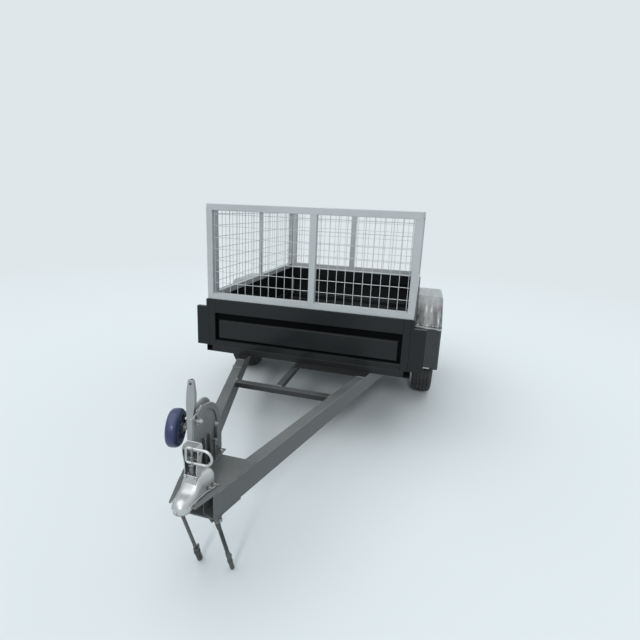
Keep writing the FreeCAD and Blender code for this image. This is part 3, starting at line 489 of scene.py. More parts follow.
class Shape:
    """Gathers tubes, plates and rods in one mesh, in metres, in the solid model's frame."""

    def __init__(self, at=None):
        self.mesh = bmesh.new()
        self.at = at or Matrix.Identity(4)

    def vert(self, point):
        return self.mesh.verts.new(self.at @ Vector(point))

    def hull(self, rings, closed=False):
        """Skins a row of rings of points, each with the same number of points."""
        rows = [[self.vert(point) for point in ring] for ring in rings]
        if closed:
            rows.append(rows[0])
        for near, far in zip(rows, rows[1:]):
            for i, j in zip(range(len(near)), [*range(1, len(near)), 0]):
                self.mesh.faces.new((near[i], near[j], far[j], far[i]))
        if not closed:
            self.mesh.faces.new(list(reversed(rows[0])))
            self.mesh.faces.new(rows[-1])
        return self

    def skin(self, rows, skip=None, closed=False):
        """A sheet through rows of points, which leaves out the faces that skip says."""
        grid = [[self.vert(point) for point in row] for row in rows]
        if closed:
            grid.append(grid[0])
        for i, (near, far) in enumerate(zip(grid, grid[1:])):
            for j in range(len(near) - 1):
                if not (skip and skip(i, j)):
                    self.mesh.faces.new((near[j], far[j], far[j + 1], near[j + 1]))
        return self

    def box(self, low, high):
        (x0, y0, z0), (x1, y1, z1) = low, high
        return self.hull([[(x0, y0, z), (x1, y0, z), (x1, y1, z), (x0, y1, z)] for z in (z0, z1)])

    def plate(self, outline, along):
        """A flat outline pushed along a vector into a plate."""
        return self.hull([[Vector(p) for p in outline], [Vector(p) + Vector(along) for p in outline]])

    def rod(self, start, end, radius, sides=16, end_radius=None):
        start, end = Vector(start), Vector(end)
        tilt = level_to(end - start)
        return self.hull([ring(start, tilt, radius, sides), ring(end, tilt, end_radius or radius, sides)])

    def turned(self, profile, middle, axis, steps=48, closed=True, skip=None):
        """Turns a profile of (along, radius) about an axis through the middle."""
        tilt = level_to(axis)
        if closed:
            profile = [*profile, profile[0]]
        middle, rows = Vector(middle), []
        for a in (2 * math.pi * i / steps for i in range(steps)):
            rows.append([middle + tilt @ Vector((r * math.cos(a), r * math.sin(a), s)) for s, r in profile])
        return self.skin(rows, skip, closed=True)

    def sleeve(self, start, end, inner, outer, middle, axis, steps):
        """A round sleeve between two places along an axis."""
        profile = [(start, inner), (start, outer), (end, outer), (end, inner)]
        return self.turned(profile, middle, axis, steps)

    def wire(self, points, radius, sides=12, closed=False, flat=1.0):
        """A round or flattened wire that follows a row of points without twisting."""
        points = [Vector(point) for point in points]
        count = len(points)
        ways = []
        for i in range(count):
            before = points[i - 1] if i or closed else points[0]
            after = points[(i + 1) % count] if i + 1 < count or closed else points[-1]
            ways.append((after - before).normalized())
        tilt = level_to(ways[0])
        rings = []
        for i, (point, way) in enumerate(zip(points, ways)):
            if i:
                tilt = ways[i - 1].rotation_difference(way).to_matrix() @ tilt
            rings.append(ring(point, tilt, radius, sides, flat))
        return self.hull(rings, closed)

    def bolt(self, place, way, width, shank=0.0):
        """A hexagon head on a washer, standing on a surface that faces the way given."""
        place, way = Vector(place), Vector(way).normalized()
        self.rod(place, place + way * width * 0.13, width * 0.72, 20)
        self.rod(place + way * width * 0.13, place + way * width * 0.62, width * 0.56, 6)
        self.rod(place + way * width * 0.62, place + way * width * 0.7, width * 0.48, 6, width * 0.36)
        if shank:
            self.rod(place, place + way * (width * 0.7 + shank), width * 0.28, 12)
        return self

    def bead(self, start, end, radius=0.0028):
        """A weld bead: a rod whose thickness swells and shrinks in small steps."""
        start, end = Vector(start), Vector(end)
        count = max(3, int((end - start).length / 0.004))
        tilt = level_to(end - start)
        rings = []
        for i in range(count + 1):
            size = radius * (0.82 + 0.25 * math.sin(i * 2.1)) * (0.5 if i in (0, count) else 1)
            rings.append(ring(start.lerp(end, i / count), tilt, size, 8))
        return self.hull(rings)

    def add(self, name, finish, body="root", bevel=0.0, hides="", shell=0.0, smooth=0, sharp=0.7, slot=""):
        """Makes the object, thickens or bevels it, and hangs it on a body."""
        bmesh.ops.remove_doubles(self.mesh, verts=self.mesh.verts[:], dist=0.00001)
        bmesh.ops.recalc_face_normals(self.mesh, faces=self.mesh.faces[:])
        data = bpy.data.meshes.new(name)
        self.mesh.to_mesh(data)
        made = bpy.data.objects.new(name, data)
        bpy.context.scene.collection.objects.link(made)
        data.materials.append(finish.material)
        if shell:
            sheet = made.modifiers.new("sheet", "SOLIDIFY")
            sheet.thickness, sheet.offset, sheet.use_even_offset = shell, -1, True
        if bevel:
            round_edges(made, bevel, sharp)
        if smooth:
            made.modifiers.new("round", "SUBSURF").levels = smooth
            made.modifiers["round"].render_levels = smooth
        data.polygons.foreach_set("use_smooth", [True] * len(data.polygons))
        data.set_sharp_from_angle(angle=sharp)
        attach(made, body)
        slot or finish.slot
        if hides:
            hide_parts(hides)
        return made


def dress(names, finish, bevel=0.0):
    """Gives solids of the model their finish, and a fine bevel where they stay as they are."""
    for name in names.split():
        node = frame["nodes"][name]
        node.data.materials.clear()
        node.data.materials.append(finish.material)
        if bevel:
            node.modifiers.new("join", "WELD").merge_threshold = 0.00003
            round_edges(node, bevel, 0.7)


dress("floor_plate", chassis_paint)
dress("front_wall left_wall right_wall tailgate", black_paint, 0.0014)
dress("front_post_left front_post_right rear_post_left rear_post_right", black_paint, 0.0016)
dress("cross_members side_rail_left side_rail_right rail_gussets", chassis_paint, 0.002)
dress("drawbar_brace drawbar_spine", brace_paint, 0.002)
dress("drawbar_rail_left drawbar_rail_right tongue_plate lug_plate", grey_paint, 0.002)
dress("axle", chassis_paint, 0.0015)
dress("spring_hangers", chassis_paint, 0.0008)
dress("leaf_spring_left leaf_spring_right", chassis_paint)
dress("coupling_body coupling_latch coupling_handle jockey_clamp jockey_leg jockey_inner", bright_zinc)
dress("brake_bracket", dull_zinc, 0.0012)
dress("brake_lever", satin_zinc, 0.001)
dress("parking_leg_left parking_leg_right", dull_zinc)
dress("gate_hinge_posts gate_hinge_leaves cage_front cage_left cage_right cage_gate", cage_paint)
dress("tailgate_hinge_posts tailgate_hinge_leaves", black_paint, 0.0006)
dress("jockey_wheel", blue_plastic)
dress("wheel_disc_left wheel_disc_right", wheel_paint)
dress("tyre_left tyre_right", rubber)
dress("mudguard_left mudguard_right", guard_film)
dress("tail_lamps", red_lens)
print("finishes on", len(frame["nodes"]), "solids")

# %% [markdown]
# ## The cage
# The cage is four welded frames of square tube with a wire mesh inside. The mesh is two layers of round
# wire: the upright wires lie on the outside, the level ones behind them, and they are welded where they
# cross. A flat texture with holes would be cheaper, but it has no thickness and no shine on the wire,
# so every wire here is a real rod. Each frame is built flat, from its own left foot, and then a matrix
# stands it up in its place on the box. The bevel rounds the tube's edges as rolled tube is rounded, and
# weld beads cover the joints.
# %% Cage frames
tube = 0.038
side_post = 0.02
wire_radius = 0.0018
wire_pitch = (0.0508, 0.0704)
first_row = 0.104
corner_wire, post_wire = 0.008, 0.024
weld, weld_inset = 0.0021, 0.002
wire_gap = 0.0036
cage_low, cage_high = box("cage_front")
side_low, side_high = box("cage_left")
gate_low, gate_high = box("cage_gate")
flip = Matrix.Scale(-1, 4, (1, 0, 0))


def mesh_frame(name, at, width, height, mid, mid_tube, starts, body="root"):
    """A tube frame with one middle post, and the two layers of wire in its two bays."""
    bars, beads, wires = Shape(at), Shape(at), Shape(at)
    inner, centre = height - tube, tube / 2
    left, right = mid - mid_tube / 2, mid + mid_tube / 2
    thin = (tube - mid_tube) / 2
    for x0, x1, z0, z1, deep in ((0, width, 0, tube, 0), (0, width, inner, height, 0),
                                 (0, tube, tube, inner, 0), (width - tube, width, tube, inner, 0),
                                 (left, right, tube, inner, thin)):
        bars.box((x0, deep, z0), (x1, tube - deep, z1))
    bars.add(name + "_tubes", cage_paint, body, bevel=0.0026, hides=name)
    for x0, x1, deep in ((0, tube, 0), (left, right, thin), (width - tube, width, 0)):
        for z in (tube, inner):
            for y in (deep, tube - deep):
                beads.bead((x0 + weld_inset, y, z), (x1 - weld_inset, y, z), weld)
    for z in (tube, inner):
        for x in (tube, left, right, width - tube):
            beads.bead((x, thin + weld_inset, z), (x, tube - thin - weld_inset, z), weld)
    beads.add(name + "_welds", cage_paint, body)
    for (low, high), start in zip(((tube, left), (right, width - tube)), starts):
        steps = int((high - wire_gap - low - start) / wire_pitch[0] - 1e-6)
        for i in range(steps + 1):
            x = low + start + i * wire_pitch[0]
            wires.rod((x, centre - 0.0019, centre), (x, centre - 0.0019, height - centre), wire_radius, 8)
        rows = int((inner - wire_gap - first_row) / wire_pitch[1] - 1e-6)
        for i in range(rows + 1):
            z = first_row + i * wire_pitch[1]
            wires.rod((low - 0.006, centre + 0.0017, z), (high + 0.006, centre + 0.0017, z), wire_radius, 8)
    wires.add(name + "_wires", wire_paint, body, sharp=1.0)
    count = len(wires.mesh.verts) // 16
    print(name, "is", round(width, 3), "by", round(height, 3), "metres, with", count, "wires")


cage_wide, cage_tall = cage_high.x - cage_low.x, cage_high.z - cage_low.z
mesh_frame("cage_front", Matrix.Translation(cage_low), cage_wide, cage_tall, cage_wide / 2 + tube, tube,
           (corner_wire, post_wire))
side_long = side_high.y - side_low.y
left_side = Matrix.Translation((side_low.x, side_high.y, side_low.z)) @ Matrix.Rotation(-math.pi / 2, 4, "Z")
for name, at in (("cage_left", left_side), ("cage_right", flip @ left_side)):
    mesh_frame(name, at, side_long, cage_tall, side_long / 2, side_post, (post_wire, post_wire))
gate_wide, gate_tall = gate_high.x - gate_low.x, gate_high.z - gate_low.z
mesh_frame("cage_gate", Matrix.Translation(gate_low), gate_wide, gate_tall, gate_wide / 2, tube,
           (post_wire, post_wire), "cage_gate")

# %% [markdown]
# ## What holds the cage
# A cage like this lifts off the box, so it is bolted, not welded. Small folded tabs stand on the rim
# inside it, each with one bolt. They are tiny, but the eye looks for a reason why the cage stays up.
# %% Tabs and their bolts
tabs, tab_bolts = Shape(), Shape()
rim_z, tab_sheet, tab_half, tab_tall = cage_low.z, 0.003, 0.018, 0.032
for side in (-1, 1):
    near, far = sorted(side * (abs(side_low.x) - tube - deep) for deep in (0, tab_sheet))
    for y in (side_low.y + 0.12, (side_low.y + side_high.y) / 2, side_high.y - 0.12):
        tabs.box((near, y - tab_half, rim_z), (far, y + tab_half, rim_z + tab_tall))
        tab_bolts.bolt((far if side < 0 else near, y, rim_z + tab_half), (-side, 0, 0), 0.01)
for x in (-0.4, 0.4):
    y = cage_high.y
    tabs.box((x - tab_half, y, rim_z), (x + tab_half, y + tab_sheet, rim_z + tab_tall))
    tab_bolts.bolt((x, y + tab_sheet, rim_z + tab_half), (0, 1, 0), 0.01)
tabs.add("cage_tabs", cage_paint, bevel=0.0008)
tab_bolts.add("cage_bolts", satin_zinc, bevel=0.0003)
print("eight tabs hold the cage on the rim")

# %% [markdown]
# ## The coupling head
# The coupling is a zinc plated pressing: a cup over the ball at the nose, then a hood that widens and
# rises backwards, with a rolled lip along its lower edge. It could be a loft with sharp corners, but a
# pressing has none. So its cross-section is a soft arch, somewhere between a circle and a box, and a
# row of such arches makes the sheet. The Solidify modifier gives it thickness, which also keeps it
# hollow from below, where the cup shows.
# %% Coupling head
body_low, body_high = box("coupling_body")
plate_high = box("tongue_plate")[1]
seat = plate_high.z
nose_radius = 0.0295
nose_y = body_low.y + nose_radius
nose_z = body_low.z + 0.0125
neck_y, back_y = nose_y + 0.06, body_high.y
neck_half, back_half, hood_top = 0.035, 0.048, body_high.z
hood_foot = nose_y + 0.024


def blend(a, b, share):
    share = max(0.0, min(1.0, share))
    return a + (b - a) * share * share * (3 - 2 * share)


def arch(y, half, low, spring, top, power, count=20):
    """A soft arch across X: a foot on each side, and between them a curve from round to boxy."""
    points = []
    for a in (math.pi * (1 - i / count) for i in range(count + 1)):
        c, s = math.cos(a), math.sin(a)
        aside = half * math.copysign(abs(c) ** (2 / power), c)
        points.append((aside, y, spring + (top - spring) * s ** (2 / power)))
    return [(-half, y, low), *points, (half, y, low)]


def hood_half(y):
    """Half the hood's width behind its neck."""
    return blend(neck_half, back_half, (y - neck_y) / (back_y - neck_y))


rows = []
for i in range(9):
    angle = math.pi / 2 * i / 8
    size = max(0.001, nose_radius * math.sin(angle))
    rows.append(arch(nose_y - nose_radius * math.cos(angle), size, body_low.z, nose_z, nose_z + size, 2))
for i in range(1, 13):
    y = nose_y + (back_y - nose_y) * i / 12
    share = (y - nose_y) / (neck_y - nose_y)
    half = blend(nose_radius, neck_half, share) if y < neck_y else hood_half(y)
    low = body_low.z if y < neck_y - 0.01 else seat
    rise = blend(nose_z + nose_radius, hood_top, (y - hood_foot) / (neck_y - hood_foot))
    rows.append(arch(y, half, low, blend(nose_z, seat + 0.012, share), rise, 2 + 1.6 * min(1, share)))
Shape().skin(rows).add("coupling_hood", bright_zinc, shell=0.0035, smooth=1, hides="coupling_body")
lips = Shape()
for side in (-1, 1):
    strip = []
    for row in rows[6:]:
        half, y = abs(row[-1][0]), row[-1][1]
        reach = blend(0.0045, 0.0142, (y - nose_y) / (back_y - nose_y))
        z = seat + 0.0036 + 0.003 * math.sin(math.pi * (y - body_low.y) / (back_y - body_low.y))
        strip.append([(side * (half - 0.003), y, z), (side * (half + reach - 0.002), y, z),
                      (side * (half + reach), y, z + 0.0014)])
    lips.skin(strip)
lips.add("coupling_lips", bright_zinc, shell=0.0032, bevel=0.0008)
cup = [(0, 0.0256), (0, 0.029), (0.0125, 0.0292), (0.0125, 0.0256)]
Shape().turned(cup, (0, nose_y, body_low.z), (0, 0, 1), 40).add("coupling_cup", satin_zinc, bevel=0.0006)
bolts = Shape()
for side in (-1, 1):
    for y in (neck_y + 0.026, back_y - 0.014):
        bolts.bolt((side * (hood_half(y) + 0.0075), y, seat + 0.004), (0, 0, 1), 0.0115)
    bolts.bolt((side * (nose_radius + 0.0004), nose_y + 0.01, nose_z + 0.002), (side, -0.2, 0.1), 0.01)
bolts.rod((-0.0275, nose_y - 0.012, nose_z + 0.009), (-0.0225, nose_y - 0.01, nose_z + 0.007), 0.0052, 16)
bolts.add("coupling_bolts", satin_zinc, bevel=0.0004)
print("the head is", round(body_high.y - body_low.y, 3), "metres long in", len(rows), "arches")

# %% [markdown]
# ## The latch and its handle
# The latch stands on the head as a channel, open to the front, that narrows at its waist. Inside it a
# sprung plunger runs up to the handle, a bent wire in the shape of a D. A coil spring is a helix, so
# one wire that follows a helix makes it, and the handle is the same wire tool on a closed path with
# round corners.
# %% Latch
latch_low, latch_high = box("coupling_latch")
latch_foot, latch_tall = latch_low.z, latch_high.z - latch_low.z
latch_profile = [(0.0, 0.0235), (0.2, 0.0225), (0.42, 0.0235), (0.58, 0.0262), (0.74, 0.029), (0.9, 0.029),
                 (1.0, 0.0265)]
sheet = 0.0032
front, back = latch_low.y + 0.0005, latch_high.y


def channel_section(half, front, back, middle, z, sheet, web):
    """A folded channel's section at a height: two flanges of sheet and the web between them."""
    outer, inner = half, half - sheet
    right_half = [(outer, back), (outer, front), (inner, front), (inner, back - web)]
    left_half = [(-x, y) for x, y in reversed(right_half)]
    return [(middle + x, y, z) for x, y in right_half + left_half]


channel = Shape().hull([channel_section(half, front, back, 0, latch_foot + latch_tall * share, sheet, sheet)
                        for share, half in latch_profile])
apron_low = nose_z + nose_radius - 0.006
channel.hull([[(-half, y0, z), (half, y0, z), (half, y0 + sheet, z), (-half, y0 + sheet, z)]
              for z, half, y0 in ((apron_low, 0.0195, front - 0.0125),
                                  (latch_foot - 0.012, 0.0228, front - 0.006),
                                  (latch_foot + 0.01, 0.0236, front - 0.0034))])
for x in (-0.014, 0.014):
    channel.rod((x, front - 0.004, latch_foot + 0.004), (x, front - 0.009, latch_foot + 0.0035), 0.0042, 14)
channel.add("latch_channel", bright_zinc, bevel=0.0011, hides="coupling_latch")
plunger = Shape()
middle_y = (front + back) / 2 - 0.003
for z, radius, tall, sides in ((0, 0.0062, latch_tall - 0.012, 20), (0.004, 0.0125, 0.007, 24),
                               (0.041, 0.0128, 0.005, 24), (0.066, 0.0118, 0.01, 24)):
    plunger.rod((0, middle_y, latch_foot + z), (0, middle_y, latch_foot + z + tall), radius, sides)
for y, z0, z1 in ((0.004, 0.064, 0.068), (0.001, latch_tall - 0.016, latch_tall - 0.0005)):
    plunger.box((-0.0258, front + y, latch_foot + z0), (0.0258, back - sheet, latch_foot + z1))
pivot_z = latch_foot + 0.086
for side in (-1, 1):
    plunger.rod((side * 0.0255, middle_y, pivot_z), (side * 0.029, middle_y, pivot_z), 0.0062)
plunger.add("latch_plunger", satin_zinc, bevel=0.0006)
turns, coil_steps = 6, 14
coil_radius, coil_tall = 0.0098, 0.0285
coil = [(coil_radius * math.cos(a), middle_y + coil_radius * math.sin(a),
         latch_foot + 0.012 + coil_tall * a / (2 * math.pi * turns))
        for a in (2 * math.pi * i / coil_steps for i in range(turns * coil_steps + 1))]
Shape().wire(coil, 0.0016, 8).add("latch_spring", dull_zinc)
print("a latch", round(latch_tall, 3), "metres tall with a spring of", turns, "turns")

# %% Latch handle
handle_low, handle_high = box("coupling_handle")
wire_half = (handle_high.y - handle_low.y) / 2
handle_y = (handle_low.y + handle_high.y) / 2


def round_corner(x, z, radius, start):
    """Points round a quarter circle in the XZ plane."""
    angles = (math.radians(start - 90 * i / 7) for i in range(8))
    return [(x + radius * math.cos(a), handle_y, z + radius * math.sin(a)) for a in angles]


x0, x1 = handle_low.x + wire_half + 0.016, handle_high.x - wire_half - 0.001
z0, z1 = handle_low.z + wire_half + 0.003, handle_high.z - wire_half - 0.012
small, large = 0.009, 0.026
path = [*round_corner(x0 + small, z1 - small, small, 180), *round_corner(x1 - large, z1 - large, large, 90),
        *round_corner(x1 - large, z0 + large, large, 0), *round_corner(x0 + small, z0 + small, small, -90)]
Shape().wire(path, wire_half, 14, closed=True).add("latch_handle", bright_zinc, hides="coupling_handle")
keepers = Shape()
for z in (z0, z1):
    keepers.sleeve(-0.004, 0.004, 0.0052, 0.0064, (0.013, handle_y, z), (1, 0, 0), 20)
    keepers.box((0.009, handle_y + 0.0045, z - 0.004), (0.017, front + 0.001, z + 0.004))
keepers.add("handle_keepers", satin_zinc, bevel=0.0005)
print("the handle is a wire", round(2000 * wire_half, 1), "mm thick")

# %% [markdown]
# ## The hand brake
# The lever is a folded channel that widens to its head, and beside it stands a plate with a toothed arc
# that a pawl drops into. The plate keeps the solid model's own shape with rounded edges, while the lever
# is made anew, as the latch was: a row of channel sections. The arc is a row of teeth worked out with
# sines, and a thin rod runs down to the brake linkage.
# %% Hand brake
lever_low, lever_high = box("brake_lever")
face_x = box("brake_bracket")[1].x
pin = Vector((face_x, (lever_low.y + lever_high.y) / 2 - 0.0011, seat + 0.201))
lever_tall, lever_sheet, lever_web = 0.255, 0.0026, 0.0028
lever_turn = Matrix.Translation(pin) @ Matrix.Rotation(math.radians(-4), 4, "X") @ Matrix.Translation(-pin)
lever_middle = lever_high.x - 0.0205
lever_front, lever_foot = pin.y - 0.008, seat + 0.09
sides = []
for share, half in ((0.0, 0.0085), (0.25, 0.0105), (0.5, 0.0138), (0.66, 0.0162), (0.8, 0.0158),
                    (0.93, 0.0128), (0.985, 0.0105), (1.0, 0.0088)):
    x, y, z = lever_middle, lever_front + 0.004 * max(0, share - 0.66), lever_foot + lever_tall * share
    deep = 0.016 - 0.006 * max(0, share - 0.8) / 0.2
    sides.append(channel_section(half, y + deep, y, x, z, lever_sheet, -lever_web))
lever = Shape(lever_turn).hull(sides)
lever.rod((lever_high.x + 0.0003, pin.y, pin.z), (lever_middle, pin.y, pin.z), 0.01, 20)
lever.add("lever_channel", lever_zinc, bevel=0.0012, hides="brake_lever")
grip = Shape(lever_turn)
top = lever_foot + lever_tall
for y0, z0, y1, z1, radius, count in ((0.0008, 0.014, -0.0006, 0.014, 0.0042, 16),
                                      (0.0095, 0.11, 0.0095, 0.004, 0.0034, 12),
                                      (0.0095, 0.012, 0.0095, 0.0, 0.0055, 16)):
    start, end = (lever_middle, lever_front + y0, top - z0), (lever_middle, lever_front + y1, top - z1)
    grip.rod(start, end, radius, count)
grip.add("lever_button", dark_steel, bevel=0.0005)
teeth, arc_radius, arc_inner, arc_sweep, arc_sheet = 26, 0.112, 0.088, 118, 0.005
tooth, plate_thick = 0.0045, 0.004
arc_y, arc_z = pin.y + 0.034, seat + 0.132
proud_x = face_x + 0.0002
brake, rings = Shape(), []
for i in range(teeth * 2 + 1):
    a = math.radians(arc_sweep - arc_sweep * i / (teeth * 2))
    far = arc_radius - (tooth if i % 2 else 0.0)
    corners = ((0, arc_inner), (0, far), (arc_sheet, far), (arc_sheet, arc_inner))
    rings.append([(face_x + x, arc_y + r * math.cos(a), arc_z + r * math.sin(a)) for x, r in corners])
brake.hull(rings)
brake.box((proud_x, pin.y + 0.01, seat), (proud_x + 0.024, pin.y + 0.152, seat + plate_thick))
for y in (pin.y + 0.028, pin.y + 0.062, pin.y + 0.112):
    brake.box((proud_x, y - 0.002, seat + plate_thick), (face_x + 0.011, y + 0.002, seat + 0.118))
brake.add("brake_sector", dull_zinc, bevel=0.0007)
pins = Shape()
pins.bolt((proud_x, pin.y, pin.z), (1, 0, 0), 0.019, 0.004)
pins.bolt((proud_x, pin.y + 0.118, seat + 0.128), (1, 0, 0), 0.012, 0.003)
for y in (pin.y + 0.045, pin.y + 0.132):
    pins.bolt((face_x + 0.014, y, seat + 0.004), (0, 0, 1), 0.012)
pins.bolt((lever_middle - 0.0138, pin.y, pin.z), (-1, 0, 0), 0.011)
pins.add("brake_bolts", bright_zinc, bevel=0.0005)
linkage = Shape()
for start, end, radius in (((0.016, 0.087, 0.004), (0.016, 0.085, 0.078), 0.0035),
                           ((0.016, 0.0855, 0.06), (0.016, 0.085, 0.086), 0.0062),
                           ((0.004, 0.085, 0.08), (0.024, 0.085, 0.08), 0.005)):
    foot = Vector((face_x, pin.y, seat))
    linkage.rod(foot + Vector(start), foot + Vector(end), radius, 14)
linkage.add("brake_rod", satin_zinc, bevel=0.0005)
print("the brake has", teeth, "teeth on an arc of", arc_radius, "metres")

# %% [markdown]
# ## The jockey stand
# The stand is a tube that turns on the rail, a thinner tube that a crank winds out of it, and a wheel
# in a fork. It is drawn in its own frame, along its own tube, and a matrix lays it where the solid model
# has it: the joints of the model give its pivot and its two directions, so nothing is measured twice.
# The wheel is the blue of moulded plastic with a round tread, a rim line and ribs.
# %% The stand's own frame
joints = {joint["name"]: joint for joint in frame["joints"]}
swing = joints["jockey_swing"]
along_x, along_y = Vector(swing["axis"]), -Vector(joints["jockey_wind"]["axis"])


def frame_at(place, *axes):
    """The matrix of a frame with its three axes as given, standing at a place."""
    return Matrix.Translation(place) @ Matrix(axes).transposed().to_4x4()


stand = frame_at(swing["pos_m"], along_x, along_y, along_x.cross(along_y))
outer, inner_tube, wheel_at = 0.024, 0.0207, -0.2
leg_low, leg_high, crank_z = -0.08, 0.2095, -0.11
middle, up_tube, across = (0, 0, 0), (0, 1, 0), (1, 0, 0)
print("the stand leans", round(math.degrees(math.asin(-along_y.z)), 1), "degrees")

# %% Outer tube, crank and grip
leg = Shape(stand)
leg.turned([(leg_low, 0.0212), (leg_low, outer), (leg_high, outer), (leg_high, 0.0075), (0.206, 0.0075),
            (0.206, 0.0212)], middle, up_tube, 40)
leg.sleeve(leg_low, -0.066, outer, outer + 0.0022, middle, up_tube, 40)
leg.turned([(0.188, outer), (0.188, outer + 0.0018), (0.2105, outer + 0.0018), (0.2105, 0.008),
            (0.207, 0.008), (0.207, outer)], middle, up_tube, 40)
leg.sleeve(0.02, 0.0314, 0.0158, 0.02, middle, across, 32)
leg.rod((0, 0.207, 0), (0, 0.2225, 0), 0.006)
crank = ((0.2215, 0.004), (0.2215, -0.03), (0.222, -0.075), (0.2225, -0.104))
leg.wire([(0, y, z) for y, z in crank], 0.0062, flat=0.7)
leg.rod((0, 0.22, crank_z), (0, 0.311, crank_z), 0.0045, 12)
leg.add("stand_tube", satin_zinc, "jockey_leg", bevel=0.0006, hides="jockey_leg")
grip_profile = mm((224, 5), (224, 10.5), (230, 12.8), (262, 13.8), (298, 12.5), (309, 9.5), (311.8, 5))
grip = Shape(stand).turned(grip_profile, (0, 0, crank_z), up_tube, 28)
grip.add("crank_grip", rubber, "jockey_leg", slot="steel_dark", bevel=0.0006)
print("outer tube, collar, cap, crank and grip")

# %% Inner tube, fork and wheel
inside = Shape(stand)
fork_in, fork_out, fork_half, crown = 0.026, 0.03, 0.0185, -0.105
inside.sleeve(crown, 0.189, inner_tube - 0.003, inner_tube, middle, up_tube, 36)
for side in (-1, 1):
    near, far = side * fork_in, side * fork_out
    inside.hull([[(near, y, -half), (near, y, half), (far, y, half), (far, y, -half)] for y, half in
                 ((-0.2115, 0.0085), (wheel_at, 0.0125), (-0.165, 0.0165), (-0.11, fork_half),
                  (-0.106, fork_half))])
    inside.bolt((far, wheel_at, 0), (side, 0, 0), 0.012)
    inside.bead((side * 0.006, crown, fork_half), (side * 0.022, crown, fork_half), 0.002)
inside.box((-fork_out, -0.109, -fork_half), (fork_out, crown, fork_half))
inside.rod((-0.028, wheel_at, 0), (0.028, wheel_at, 0), 0.0058)
inside.add("stand_fork", satin_zinc, "jockey_inner", bevel=0.0007, hides="jockey_inner")
wheel_middle = Vector((0, wheel_at, 0))
wheel_profile = mm((-24.5, 8.5), (-24.5, 18), (-17.5, 21), (-15, 44), (-18.5, 48), (-22, 50), (-22.5, 55),
                   (-20.5, 62), (-15, 66.8), (-8, 68.5), (0, 69))
wheel_profile += [(-along, radius) for along, radius in reversed(wheel_profile[:-1])]
wheel = Shape(stand).turned(wheel_profile, wheel_middle, across, 72)
wheel.add("stand_wheel", blue_plastic, "jockey_wheel", hides="jockey_wheel", sharp=0.6)
ribs = Shape(stand)
for side in (-1, 1):
    ribs.turned(mm((side * 21.8, 47.8), (side * 23.6, 49), (side * 23.4, 51.5), (side * 21.6, 52.2)),
                wheel_middle, across, 72)
    foot, rise = wheel_middle + Vector((side * 0.015, 0, 0)), Vector((side * 0.006, 0, 0))
    for a in (math.pi * i / 3 for i in range(6)):
        out = Vector((0, math.cos(a), math.sin(a)))
        flank = Vector((0, -math.sin(a), math.cos(a))) * 0.0016
        ends = (foot + out * 0.019, foot + out * 0.047)
        ribs.hull([[p - flank, p + flank, p + flank + rise, p - flank + rise] for p in ends])
ribs.add("wheel_ribs", blue_plastic, "jockey_wheel", bevel=0.0004)
print("a wheel of", 2 * max(radius for along, radius in wheel_profile), "metres with six ribs a side")

# %% Clamp on the rail
rail_frame = frame_at(swing["pos_m"], along_x, Vector((-along_x.y, along_x.x, 0)), Vector((0, 0, 1)))
clamp = Shape(rail_frame)
clamp_back, clamp_sheet, low_z, high_z = 0.038, 0.006, -0.175, 0.024
plate_x = clamp_back - clamp_sheet
outline = ((-0.024, low_z), (0.024, low_z), (0.024, 0.004), (0.018, 0.018), (0.0, high_z), (-0.018, 0.018),
           (-0.024, 0.004))
clamp.plate([(plate_x, y, z) for y, z in outline], (clamp_sheet, 0, 0))
clamp.rod((clamp_back, 0, 0), (0.0242, 0, 0), 0.0158, 32)
clamp.add("clamp_plate", satin_zinc, bevel=0.001, hides="jockey_clamp")
clamp_bolts = Shape(rail_frame)
for y in (-0.014, 0.014):
    for z in (-0.06, -0.11, -0.16):
        clamp_bolts.rod((plate_x, y, z), (plate_x - 0.0014, y, z), 0.0065, 20, 0.005)
clamp_bolts.bolt((clamp_back, 0, 0), across, 0.018)
clamp_bolts.add("clamp_bolts", bright_zinc, bevel=0.0004)
print("the clamp plate is", round(high_z - low_z, 3), "metres tall")

